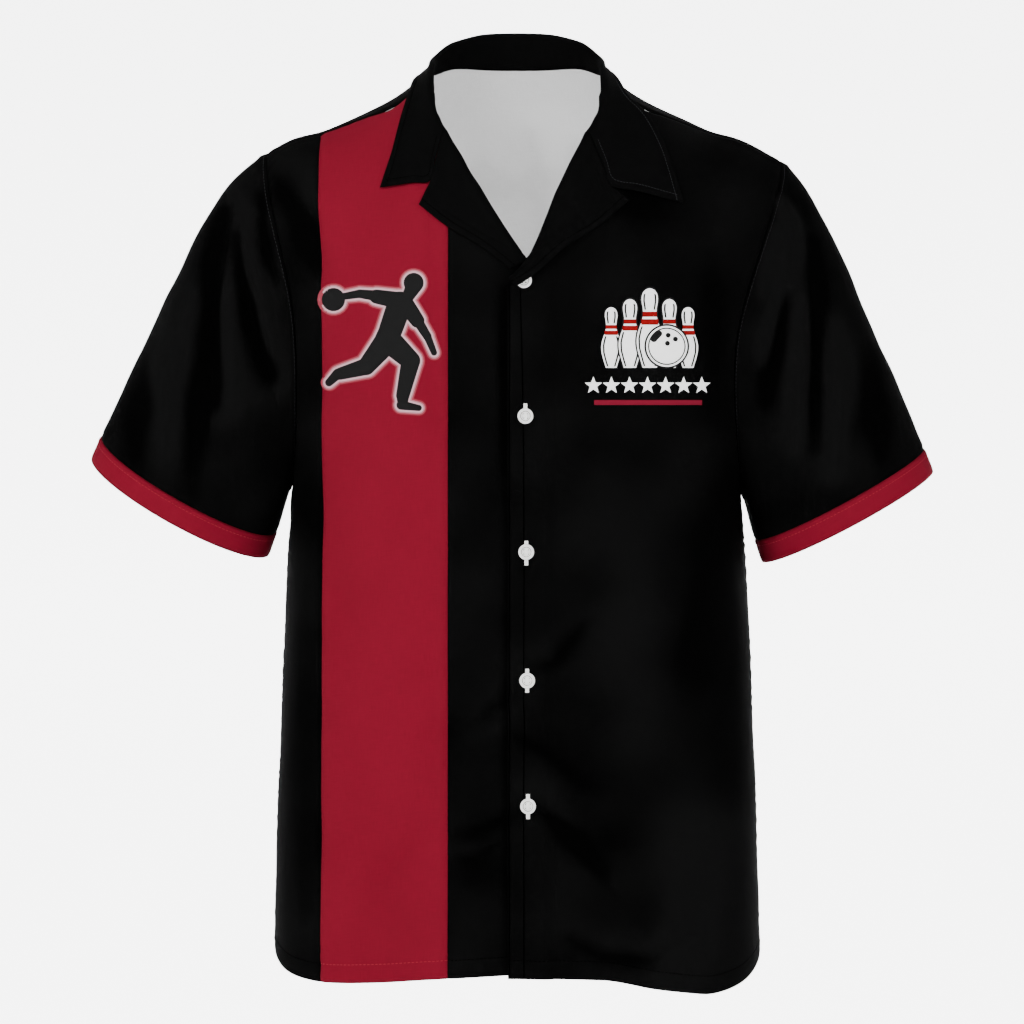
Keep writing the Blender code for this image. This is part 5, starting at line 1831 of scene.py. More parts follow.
class StitchMaker:
    """Thread stitches laid along lines on the cloth, by one node tree."""

    def __init__(self) -> None:
        """Make the node tree and its inputs."""
        self.tree = bpy.data.node_groups.new("Stitches", "GeometryNodeTree")
        face = self.tree.interface
        face.new_socket(name="Geometry", in_out="INPUT", socket_type="NodeSocketGeometry")
        self.inputs = {}
        for name, kind in (
            ("Radius", "NodeSocketFloat"),
            ("Length", "NodeSocketFloat"),
            ("Seed", "NodeSocketInt"),
            ("Thread", "NodeSocketMaterial"),
        ):
            socket = face.new_socket(name=name, in_out="INPUT", socket_type=kind)
            self.inputs[name] = socket.identifier
        face.new_socket(name="Geometry", in_out="OUTPUT", socket_type="NodeSocketGeometry")
        self._wire()

    def _wire(self) -> None:
        """Join the tree that lays one stitch at each point."""
        nodes, links = self.tree.nodes, self.tree.links
        start = nodes.new("NodeGroupInput")
        end = nodes.new("NodeGroupOutput")
        ball = nodes.new("GeometryNodeMeshUVSphere")
        ball.inputs["Segments"].default_value = 7
        ball.inputs["Rings"].default_value = 6
        ball.inputs["Radius"].default_value = 1.0
        lie = nodes.new("GeometryNodeInputNamedAttribute")
        lie.data_type = "FLOAT_VECTOR"
        lie.inputs["Name"].default_value = "lie"
        turn = nodes.new("FunctionNodeAlignRotationToVector")
        turn.axis = "Z"
        chance = nodes.new("FunctionNodeRandomValue")
        chance.data_type = "FLOAT"
        chance.inputs[2].default_value = 0.88
        chance.inputs[3].default_value = 1.10
        half = nodes.new("ShaderNodeMath")
        half.operation = "MULTIPLY"
        half.inputs[1].default_value = 0.5
        vary = nodes.new("ShaderNodeMath")
        vary.operation = "MULTIPLY"
        size = nodes.new("ShaderNodeCombineXYZ")
        place = nodes.new("GeometryNodeInstanceOnPoints")
        real = nodes.new("GeometryNodeRealizeInstances")
        smooth_shade = nodes.new("GeometryNodeSetShadeSmooth")
        finish = nodes.new("GeometryNodeSetMaterial")
        links.new(start.outputs["Geometry"], place.inputs["Points"])
        links.new(ball.outputs["Mesh"], place.inputs["Instance"])
        links.new(lie.outputs["Attribute"], turn.inputs["Vector"])
        links.new(turn.outputs["Rotation"], place.inputs["Rotation"])
        links.new(start.outputs["Seed"], chance.inputs["Seed"])
        links.new(start.outputs["Length"], half.inputs[0])
        links.new(half.outputs[0], vary.inputs[0])
        links.new(chance.outputs[1], vary.inputs[1])
        links.new(start.outputs["Radius"], size.inputs[0])
        links.new(start.outputs["Radius"], size.inputs[1])
        links.new(vary.outputs[0], size.inputs[2])
        links.new(size.outputs[0], place.inputs["Scale"])
        links.new(place.outputs["Instances"], real.inputs["Geometry"])
        links.new(real.outputs["Geometry"], smooth_shade.inputs["Geometry"])
        links.new(smooth_shade.outputs["Geometry"], finish.inputs["Geometry"])
        links.new(start.outputs["Thread"], finish.inputs["Material"])
        links.new(finish.outputs["Geometry"], end.inputs["Geometry"])

    def lay(
        self,
        name: str,
        places: np.ndarray,
        lies: np.ndarray,
        radius: float,
        length: float,
        thread: bpy.types.Material,
    ) -> bpy.types.Object:
        """Lay one stitch at each place.

        Args:
            name: the object's name.
            places: middles of the stitches.
            lies: the way each stitch runs.
            radius: half the thread's thickness.
            length: length of a stitch.
            thread: the thread's finish.

        Returns:
            The stitches as one plain mesh, riding on the frame.
        """
        mesh = bpy.data.meshes.new(name + "_points")
        mesh.from_pydata(places.tolist(), [], [])
        ways = mesh.attributes.new("lie", "FLOAT_VECTOR", "POINT")
        ways.data.foreach_set("vector", lies.astype(np.float32).reshape(-1))
        holder = bpy.data.objects.new(name + "_points", mesh)
        bpy.context.scene.collection.objects.link(holder)
        modifier = holder.modifiers.new("Stitches", "NODES")
        modifier.node_group = self.tree
        modifier[self.inputs["Radius"]] = radius
        modifier[self.inputs["Length"]] = length
        modifier[self.inputs["Seed"]] = 7
        modifier[self.inputs["Thread"]] = thread
        graph = bpy.context.evaluated_depsgraph_get()
        made_mesh = bpy.data.meshes.new_from_object(holder.evaluated_get(graph), depsgraph=graph)
        bpy.data.objects.remove(holder)
        made_mesh.name = name
        if not made_mesh.materials:
            made_mesh.materials.append(thread)
        made = bpy.data.objects.new(name, made_mesh)
        bpy.context.scene.collection.objects.link(made)
        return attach(made, "root")

    def run(
        self,
        name: str,
        trails: Sequence[Trail],
        thread: bpy.types.Material,
        spacing: float = 0.0031,
        length: float = 0.0023,
        radius: float = 0.00023,
    ) -> bpy.types.Object:
        """Lay running stitches along lines on the cloth."""
        places, lies = [], []
        for trail in trails:
            steps = np.linalg.norm(np.diff(trail.points, axis=0), axis=1)
            along_it = np.concatenate([[0.0], np.cumsum(steps)])
            count = max(int(along_it[-1] / spacing), 2)
            at = (np.arange(count) + 0.5) * along_it[-1] / count
            lifted = trail.points + trail.normals * radius * 0.35

            def on_line(where: np.ndarray, line: np.ndarray = lifted, run=along_it) -> np.ndarray:
                """Places on the lifted line at distances along it."""
                return np.stack([np.interp(where, run, line[:, k]) for k in range(3)], axis=1)

            places.append(on_line(at))
            lies.append(unit(on_line(at + 0.0006) - on_line(at - 0.0006)))
        return self.lay(name, np.concatenate(places), np.concatenate(lies), radius, length, thread)


# ---------------------------------------------------------------- prints


@dataclass(frozen=True)
class Blob:
    """A round-ended shape that tapers between two circles, in millimetres."""

    x1: float
    z1: float
    r1: float
    x2: float
    z2: float
    r2: float

    def sized(self, scale: float) -> "Blob":
        """The same shape at another scale."""
        return Blob(
            *(value * scale for value in (self.x1, self.z1, self.r1, self.x2, self.z2, self.r2))
        )

    def outline(self, grow: float = 0.0, steps: int = 22) -> list[tuple[float, float]]:
        """Its outline, grown by a distance."""
        circle = []
        for x, z, r in ((self.x1, self.z1, self.r1), (self.x2, self.z2, self.r2)):
            for k in range(steps):
                angle = 2.0 * math.pi * k / steps
                circle.append((x + (r + grow) * math.cos(angle), z + (r + grow) * math.sin(angle)))
        return around(circle)


def dot(x: float, z: float, r: float) -> Blob:
    """A round spot, in millimetres."""
    return Blob(x, z, r, x, z, r * 0.98)


def around(points: list[tuple[float, float]]) -> list[tuple[float, float]]:
    """The convex outline round some places."""
    points = sorted(set(points))

    def half(run: list) -> list:
        """One side of the outline round the points of a run."""
        line: list = []
        for p in run:
            while len(line) > 1:
                (ax, az), (bx, bz) = line[-2], line[-1]
                if (bx - ax) * (p[1] - az) - (bz - az) * (p[0] - ax) > 0.0:
                    break
                line.pop()
            line.append(p)
        return line[:-1]

    return half(points) + half(points[::-1])


def star(x: float, z: float, r: float) -> list[tuple[float, float]]:
    """A five-pointed star, in millimetres."""
    corners = []
    for k in range(10):
        angle = math.pi / 2.0 + math.pi * k / 5.0
        size = r if k % 2 == 0 else r * 0.42
        corners.append((x + size * math.cos(angle), z + size * math.sin(angle)))
    return corners


def bar(x1: float, z1: float, x2: float, z2: float) -> list[tuple[float, float]]:
    """An upright rectangle, in millimetres."""
    return [(x1, z1), (x2, z1), (x2, z2), (x1, z2)]


class PrintBed:
    """The cloth that prints are laid on, met from straight in front."""

    LAYER = 0.00006
    PLANE = -0.120
    VIEWER = Vector((-0.0039, -2.5, -0.3214))

    def __init__(self, grids: Sequence[ClothGrid]) -> None:
        """Gather the faces that the prints lie on."""
        places, quads, base = [], [], 0
        for grid in grids:
            places.append(grid.points.reshape(-1, 3))
            quads.append(grid.faces() + base)
            base += len(places[-1])
        self.tree = BVHTree.FromPolygons(
            np.concatenate(places).tolist(), np.concatenate(quads).tolist()
        )

    def lay(
        self,
        name: str,
        outlines: Sequence[Sequence[tuple[float, float]]],
        centre: tuple[float, float],
        layer: int,
        ink: bpy.types.Material,
    ) -> bpy.types.Object:
        """Lay the union of some outlines on the cloth.

        Args:
            name: the object's name.
            outlines: closed outlines in millimetres round the centre.
            centre: the print's middle, as (x, z).
            layer: its order, from 1 on the cloth upwards.
            ink: its finish.

        Returns:
            The print, riding on the frame.
        """
        points: list[Vector] = []
        faces = []
        for outline in outlines:
            start = len(points)
            for (x1, z1), (x2, z2) in zip(outline, list(outline[1:]) + [outline[0]]):
                pieces = max(int(math.hypot(x2 - x1, z2 - z1) / 3.0), 1)
                for k in range(pieces):
                    points.append(Vector((mix(x1, x2, k / pieces), mix(z1, z2, k / pieces))))
            faces.append(list(range(start, len(points))))
        flat = np.array([tuple(p) for p in points])
        low, high = flat.min(axis=0), flat.max(axis=0)
        for x in np.arange(low[0] + 1.3, high[0], 2.6):
            for z in np.arange(low[1] + 1.1, high[1], 2.6):
                points.append(Vector((float(x), float(z))))
        cut = delaunay_2d_cdt(points, [], faces, 1, 1e-4)
        places = []
        for p in cut[0]:
            x, z = centre[0] + p.x / 1000.0, centre[1] + p.y / 1000.0
            aim = Vector((x, self.PLANE, z)) - self.VIEWER
            hit, way, _, _ = self.tree.ray_cast(self.VIEWER, aim.normalized())
            if hit is None:
                hit, way, _, _ = self.tree.find_nearest(Vector((x, self.PLANE, z)))
            if way.y > 0.0:
                way = -way
            places.append(tuple(hit + way * (0.00012 + self.LAYER * layer)))
        mesh = bpy.data.meshes.new(name)
        mesh.from_pydata(places, [], [tuple(f) for f in cut[2]])
        mesh.materials.append(ink)
        build = bmesh.new()
        build.from_mesh(mesh)
        for face in build.faces:
            face.normal_update()
            if face.normal.y > 0.0:
                face.normal_flip()
        build.to_mesh(mesh)
        build.free()
        mesh.shade_smooth()
        made = bpy.data.objects.new(name, mesh)
        bpy.context.scene.collection.objects.link(made)
        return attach(made, "root")


@dataclass(frozen=True)
class BowlerPrint:
    """A plain figure about to swing a ball, in black with a soft pale edge, on the stripe."""

    centre: tuple[float, float] = (-0.0952, -0.1950)
    scale: float = 1.08
    edges: tuple[float, ...] = (3.4, 2.3, 1.3)
    shapes: tuple[Blob, ...] = (
        dot(17.0, 40.5, 6.9),
        Blob(17.5, 39.0, 5.6, 13.0, 31.0, 4.2),
        Blob(7.5, 26.0, 8.6, 0.5, 6.0, 8.0),
        Blob(0.5, 6.0, 8.0, -1.0, 1.5, 8.6),
        Blob(6.0, 28.5, 5.8, -8.5, 31.0, 4.9),
        Blob(-8.0, 31.5, 3.7, -20.0, 33.0, 3.0),
        Blob(-20.0, 33.0, 2.9, -32.0, 31.0, 2.3),
        dot(-38.0, 29.0, 8.0),
        Blob(12.0, 25.0, 5.8, 19.5, 14.5, 4.9),
        Blob(20.0, 14.0, 3.5, 26.5, 3.5, 2.9),
        Blob(26.5, 3.5, 2.7, 31.0, -7.5, 2.1),
        Blob(2.0, -1.0, 8.4, 15.0, -13.0, 6.6),
        Blob(15.0, -13.0, 6.5, 9.5, -37.0, 4.6),
        Blob(8.5, -43.5, 3.3, 20.5, -45.5, 2.1),
        Blob(9.5, -37.0, 4.4, 9.5, -43.0, 3.4),
        Blob(-2.5, -1.0, 8.2, -15.5, -17.0, 6.0),
        Blob(-15.5, -17.0, 5.9, -33.5, -22.0, 4.2),
        Blob(-35.0, -22.0, 3.6, -41.0, -28.0, 2.7),
    )

    def lay(self, bed: PrintBed, finishes: Finishes) -> None:
        """Print the figure."""
        size = self.scale
        inks = (finishes.dusk_ink, finishes.rose_ink, finishes.pale_ink)
        shapes = [shape.sized(size) for shape in self.shapes]
        for k, (edge, ink) in enumerate(zip(self.edges, inks)):
            outlines = [shape.outline(edge) for shape in shapes]
            bed.lay(f"print_bowler_edge_{k}", outlines, self.centre, k + 1, ink)
        dark = [shape.outline() for shape in shapes]
        bed.lay("print_bowler", dark, self.centre, 5, finishes.black_ink)


@dataclass(frozen=True)
class PinsPrint:
    """Five pins behind a ball, over a row of stars and a bar, on the left front.

    Attributes:
        form: half a pin's outline, as shares of its height: (height, half width).
        pins: rows of (x, height), the farthest first, in millimetres.
    """

    centre: tuple[float, float] = (0.0982, -0.1848)
    stars_centre: tuple[float, float] = (0.0967, -0.2271)
    bar_centre: tuple[float, float] = (0.0971, -0.2401)
    foot: float = -29.5
    form: tuple[tuple[float, float], ...] = (
        (0.000, 0.088),
        (0.110, 0.121),
        (0.250, 0.157),
        (0.370, 0.162),
        (0.480, 0.138),
        (0.580, 0.103),
        (0.670, 0.085),
        (0.750, 0.087),
        (0.840, 0.101),
        (0.910, 0.098),
        (0.960, 0.075),
        (0.990, 0.037),
        (1.000, 0.000),
    )
    pins: tuple[tuple[float, float], ...] = (
        (-28.5, 45.0),
        (28.5, 45.0),
        (-14.6, 51.0),
        (14.6, 51.0),
        (0.0, 59.0),
    )
    ball: tuple[float, float, float] = (12.5, -13.6, 15.2)

    def half_width(self, share: float, tall: float) -> float:
        """Half a pin's width at a share of its height."""
        return float(np.interp(share, *zip(*self.form))) * tall

    def pin(self, x: float, tall: float, grow: float = 0.0) -> list[tuple[float, float]]:
        """Outline of a pin, grown by a distance."""
        edge = spline(np.array([(w, 0.0, h) for h, w in self.form]) * tall, 40)
        edge = np.stack([edge[:, 0] + grow, edge[:, 2]], axis=1)
        edge[:, 1] = np.where(edge[:, 1] > tall * 0.99, edge[:, 1] + grow, edge[:, 1])
        right = [(x + w, self.foot + h) for w, h in edge]
        left = [(x - w, self.foot + h) for w, h in edge[::-1]]
        return right + left[1:] if grow == 0.0 else right + left

    def ribbon(self, x: float, tall: float, side: float, low: float, high: float) -> list:
        """A fine line inside a pin's edge, between two shares of its height."""
        shares = np.linspace(low, high, 14)
        wide = [self.half_width(t, tall) for t in shares]
        outer = [(x + side * (w - 1.0), self.foot + t * tall) for w, t in zip(wide, shares)]
        inner = [(x + side * (w - 2.3), self.foot + t * tall) for w, t in zip(wide, shares)]
        return outer + inner[::-1]

    def lay(self, bed: PrintBed, finishes: Finishes) -> None:
        """Print the pins, the ball, the stars and the bar."""
        layer = 1
        for row in (self.pins[:2], self.pins[2:4], self.pins[4:]):
            gaps, white, lines, bands = [], [], [], []
            for x, tall in row:
                gaps.append(self.pin(x, tall, 1.2))
                white.append(self.pin(x, tall))
                for side in (-1.0, 1.0):
                    lines.append(self.ribbon(x, tall, side, 0.02, 0.52))
                    lines.append(self.ribbon(x, tall, side, 0.73, 0.93))
                for low, high in ((0.540, 0.612), (0.640, 0.706)):
                    wide = self.half_width((low + high) / 2.0, tall)
                    feet = self.foot + low * tall, self.foot + high * tall
                    bands.append(bar(x - wide - 0.2, feet[0], x + wide + 0.2, feet[1]))
            name = f"print_pins_{layer}"
            if layer > 1:
                bed.lay(name + "_gap", gaps, self.centre, layer, finishes.black_ink)
            bed.lay(name, white, self.centre, layer + 1, finishes.white_ink)
            bed.lay(name + "_lines", lines, self.centre, layer + 2, finishes.black_ink)
            bed.lay(name + "_bands", bands, self.centre, layer + 2, finishes.red_ink)
            layer += 3
        self.lay_ball(bed, finishes, layer)
        row = [star(-40.2 + 13.4 * k, -0.4, 6.7) for k in range(7)]
        bed.lay("print_stars", row, self.stars_centre, 1, finishes.white_ink)
        strip = [bar(-40.0, -1.8, 40.0, 1.8)]
        bed.lay("print_bar", strip, self.bar_centre, 1, finishes.crimson_ink)

    def lay_ball(self, bed: PrintBed, finishes: Finishes, layer: int) -> None:
        """Print the ball with its finger holes, a gleam and a shaded rim."""
        x, z, r = self.ball
        rings = ((r + 1.4, finishes.black_ink), (r, finishes.white_ink),
                 (r - 1.3, finishes.black_ink), (r - 2.3, finishes.white_ink))
        for k, (size, ink) in enumerate(rings):
            disc = [dot(x, z, size).outline(0.0, 56)]
            bed.lay(f"print_ball_{k}", disc, self.centre, layer + k, ink)
        marks = [dot(x + 1.0, z + 8.2, 1.9), dot(x + 6.3, z + 5.4, 1.9), dot(x + 0.4, z + 2.2, 1.9),
                 Blob(x - 9.6, z + 5.6, 2.6, x - 5.8, z + 9.4, 2.4)]
        dark = [mark.outline() for mark in marks]
        bed.lay("print_ball_marks", dark, self.centre, layer + 4, finishes.black_ink)


# ---------------------------------------------------------------- buttons


@dataclass(frozen=True)
class Button:
    """A four-hole shirt button with a raised rim, and its buttonhole in the left front.

    Attributes:
        node: the solid it stands for.
        hole_drop: how far the buttonhole's middle is below the button's.
        hole_length: length of the buttonhole.
    """

    node: str
    hole_drop: float = 0.0
    hole_length: float = 0.0165

    RADIUS = 0.0060
    HIGH = 0.0022
    SHOWN = 0.965
    EYE = 0.00085
    EYES = 0.00135
    PROFILE = (
        (0.0000, 0.0010),
        (0.0027, 0.0010),
        (0.0036, 0.0012),
        (0.0041, 0.0019),
        (0.0047, 0.0022),
        (0.0053, 0.0021),
        (0.0058, 0.0017),
        (0.0060, 0.0011),
        (0.0057, 0.0006),
        (0.0049, 0.0001),
        (0.0040, 0.0000),
        (0.0000, 0.0000),
    )

    @classmethod
    def blank(cls) -> bpy.types.Mesh:
        """One button facing +Z, with its four eyes cut through."""
        curve = spline(np.array([(r, 0.0, z) for r, z in cls.PROFILE]), 34)
        steps = 56
        build = bmesh.new()
        rings = []
        for place in curve[1:-1]:
            ring = []
            for k in range(steps):
                angle = 2.0 * math.pi * k / steps
                r = max(place[0], 0.00005)
                ring.append(build.verts.new((r * math.cos(angle), r * math.sin(angle), place[2])))
            rings.append(ring)
        for low, high in zip(rings[:-1], rings[1:]):
            for k in range(steps):
                m = (k + 1) % steps
                build.faces.new((low[k], high[k], high[m], low[m]))
        build.faces.new(rings[0])
        build.faces.new(rings[-1][::-1])
        bmesh.ops.recalc_face_normals(build, faces=build.faces)
        mesh = bpy.data.meshes.new("button_blank")
        build.to_mesh(mesh)
        build.free()
        body = bpy.data.objects.new("button_blank", mesh)
        bpy.context.scene.collection.objects.link(body)
        drills = []
        for sx, sy in ((-1, -1), (-1, 1), (1, -1), (1, 1)):
            bpy.ops.mesh.primitive_cylinder_add(
                vertices=20, radius=cls.EYE, depth=0.01, location=(
                    sx * cls.EYES, sy * cls.EYES, 0.0
                )
            )
            drills.append(bpy.context.object)
            cut = body.modifiers.new("Eye", "BOOLEAN")
            cut.operation = "DIFFERENCE"
            cut.solver = "EXACT"
            cut.object = drills[-1]
        graph = bpy.context.evaluated_depsgraph_get()
        made = bpy.data.meshes.new_from_object(body.evaluated_get(graph), depsgraph=graph)
        for drill in drills:
            bpy.data.objects.remove(drill)
        bpy.data.objects.remove(body)
        return made

    def frame_at(self) -> tuple[np.ndarray, np.ndarray, np.ndarray, np.ndarray]:
        """Middle of the button's underside, and its right, up and outward directions."""
        low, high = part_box(self.node)
        middle = (np.array(low) + np.array(high)) / 2.0
        out = ShirtForm.normal(middle)
        up = unit(np.array((0.0, 0.0, 1.0)) - out * out[2])
        right = np.cross(up, out)
        return middle - out * self.HIGH / 2.0, right, up, out

    def build(self, blank: bpy.types.Mesh, finishes: Finishes) -> bpy.types.Object:
        """Make the button in its solid's place."""
        origin, right, up, out = self.frame_at()
        mesh = blank.copy()
        mesh.name = "shirt_" + self.node
        places = np.empty(len(mesh.vertices) * 3, dtype=np.float32)
        mesh.vertices.foreach_get("co", places)
        places = places.reshape(-1, 3).astype(float) * (self.SHOWN, self.SHOWN, 1.0)
        turned = origin + places[:, :1] * right + places[:, 1:2] * up + places[:, 2:] * out
        mesh.vertices.foreach_set("co", turned.astype(np.float32).reshape(-1))
        mesh.materials.clear()
        mesh.materials.append(finishes.resin)
        mesh.materials.append(finishes.dish)
        outward_shell(mesh)
        for face in mesh.polygons:
            off = np.array(face.center) - origin
            aside = math.hypot(float(off @ right), float(off @ up))
            face.material_index = int(0.0030 < aside < 0.0041 and float(off @ out) > 0.0006)
        mesh.set_sharp_from_angle(angle=math.radians(50))
        made = bpy.data.objects.new("shirt_" + self.node, mesh)
        bpy.context.scene.collection.objects.link(made)
        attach(made, "root")
        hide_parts(self.node)
        return made

    def thread_places(self) -> tuple[list[np.ndarray], list[np.ndarray]]:
        """Places and directions of the strands that cross between the eyes."""
        origin, right, up, out = self.frame_at()
        places, lies = [], []
        for column in (-1, 1):
            for strand in (-1, 0, 1):
                across = column * self.EYES + strand * 0.00022
                places.append(origin + right * across + out * (0.00125 - abs(strand) * 0.00008))
                lies.append(up)
        return places, lies

    def hole_places(self, bed: PrintBed) -> tuple[list[np.ndarray], list[np.ndarray]]:
        """Places and directions of the satin stitches of the buttonhole."""
        origin, right, _, _ = self.frame_at()
        places, lies = [], []
        count = int(self.hole_length / 0.00034)
        for k in range(count):
            drop = (k / (count - 1) - 0.5) * self.hole_length + self.hole_drop
            for column in (-0.00068, 0.00068):
                seen = Vector((origin[0] + column, -1.0, origin[2] - drop))
                hit, way, _, _ = bed.tree.ray_cast(seen, Vector((0.0, 1.0, 0.0)))
                if hit is None:
                    continue
                way = -way if way.y > 0.0 else way
                places.append(np.array(hit + way * 0.00012))
                lies.append(right)
        return places, lies


# ---------------------------------------------------------------- studio


@dataclass(frozen=True)
class Studio:
    """A pale seamless backdrop, soft lights, and a level camera in front."""

    distance: float = 2.5
    aim: tuple[float, float] = (-0.0039, -0.3214)
    lens: float = 112.68
    floor_z: float = -1.80

    def build(self) -> None:
        """Make the stage, the lights, the world and the camera."""
        self._backdrop()
        middle = (0.0, 0.0, self.aim[1])
        self._lamp("key_light", (-1.7, -2.4, 0.9), middle, 1.3, 50.0)
        self._lamp("fill_light", (1.3, -2.6, -0.1), middle, 2.0, 20.0)
        self._lamp("top_light", (-0.2, -0.3, 2.2), middle, 1.6, 9.0)
        self._spot("neck_light", (0.0, -2.2, 0.42), (0.004, 0.06, -0.075), 5.2, 60.0)
        world = bpy.data.worlds.new("soft_world")
        world.use_nodes = True
        sky = world.node_tree.nodes["Background"]
        sky.inputs[0].default_value = (1.0, 1.0, 1.0, 1.0)
        sky.inputs[1].default_value = 0.30
        bpy.context.scene.world = world
        data = bpy.data.cameras.new("camera")
        data.lens = self.lens
        data.sensor_width = 36.0
        data.clip_end = 60.0
        camera = bpy.data.objects.new("camera", data)
        camera.location = (self.aim[0], -self.distance, self.aim[1])
        camera.rotation_euler = (math.pi / 2.0, 0.0, 0.0)
        bpy.context.scene.collection.objects.link(camera)
        bpy.context.scene.camera = camera

    def _backdrop(self) -> None:
        """A round floor that bends up into a wall, glowing with painted light where it is behind the
        shirt.
        """
        profile = [(0.4, 0.0), (4.8, 0.0)]
        for k in range(1, 13):
            turn = math.pi / 2.0 * k / 12.0
            profile.append((4.8 + 1.2 * math.sin(turn), 1.2 - 1.2 * math.cos(turn)))
        profile.append((6.0, 5.5))
        steps = 96
        verts, faces = [(0.0, 0.0, self.floor_z)], []
        for r, z in profile:
            for k in range(steps):
                angle = 2.0 * math.pi * k / steps
                verts.append((r * math.cos(angle), r * math.sin(angle), self.floor_z + z))
        for k in range(steps):
            m = (k + 1) % steps
            faces.append((0, 1 + k, 1 + m))
            for row in range(len(profile) - 1):
                a, b = 1 + row * steps, 1 + (row + 1) * steps
                faces.append((a + k, b + k, b + m, a + m))
        mesh = bpy.data.meshes.new("studio_floor")
        mesh.from_pydata(verts, [], faces)
        mesh.shade_smooth()
        s = NodeSheet("pale_studio_paper")
        place = s.add("TexCoord").outputs["Object"]
        grain = s.add("TexNoise", {"Vector": place, "Scale": 60.0, "Detail": 2.0})
        tone = s.blend(grain.outputs[0], linear("#F4F4F4"), linear("#FBFBFB"))
        s.feed(s.shader.inputs["Base Color"], tone)
        # painted light: the paper gives off light of its own, strongest on the wall behind the shirt
        # and fading away from it
        wall = (0.0, 6.0, self.aim[1])
        far = s.add("VectorMath", {0: place, 1: wall}, operation="DISTANCE").outputs["Value"]
        behind = s.add("MapRange", {0: far, 1: 1.9, 2: 4.2, 3: 4.6, 4: 0.12}).outputs[0]
        s.shader.inputs["Roughness"].default_value = 0.95
        s.shader.inputs["Emission Color"].default_value = (1.0, 1.0, 1.0, 1.0)
        s.feed(s.shader.inputs["Emission Strength"], behind)
        mesh.materials.append(s.material)
        floor = bpy.data.objects.new("studio_floor", mesh)
        bpy.context.scene.collection.objects.link(floor)

    @staticmethod
    def _hang(name: str, data: bpy.types.Light, place: tuple, target: tuple) -> None:
        """Put a light in place, turned to its target."""
        lamp = bpy.data.objects.new(name, data)
        lamp.location = place
        lamp.rotation_euler = (Vector(place) - Vector(target)).to_track_quat("Z", "Y").to_euler()
        bpy.context.scene.collection.objects.link(lamp)

    def _lamp(self, name: str, place: tuple, target: tuple, size: float, power: float) -> None:
        """A soft square light."""
        data = bpy.data.lights.new(name, "AREA")
        data.size = size
        data.energy = power
        self._hang(name, data, place, target)

    def _spot(self, name: str, place: tuple, target: tuple, angle: float, power: float) -> None:
        """A narrow soft-edged light."""
        data = bpy.data.lights.new(name, "SPOT")
        data.spot_size = math.radians(angle)
        data.spot_blend = 0.6
        data.shadow_soft_size = 0.12
        data.energy = power
        self._hang(name, data, place, target)


# ---------------------------------------------------------------- the shirt


@dataclass(frozen=True)
class Cuts:
    """Flat sizes of the cut pieces; sleeves and bands are all round."""

    back: Cut = Cut(0.591, 0.795, 0.3390)
    front_left: Cut = Cut(0.320, 0.706, 0.1562)
    right_side: Cut = Cut(0.112, 0.670, 0.0505)
    right_stripe: Cut = Cut(0.108, 0.704, 0.0726)
    right_centre: Cut = Cut(0.080, 0.621, 0.0401)
    sleeve: Cut = Cut(0.618, 0.258, 0.0719)
    band: Cut = Cut(0.421, 0.0195, 0.0080)
    collar: Cut = Cut(0.563, 0.113, 0.0263)
    lapel_right: Cut = Cut(0.071, 0.122, 0.0043)
    lapel_left: Cut = Cut(0.072, 0.133, 0.0047)


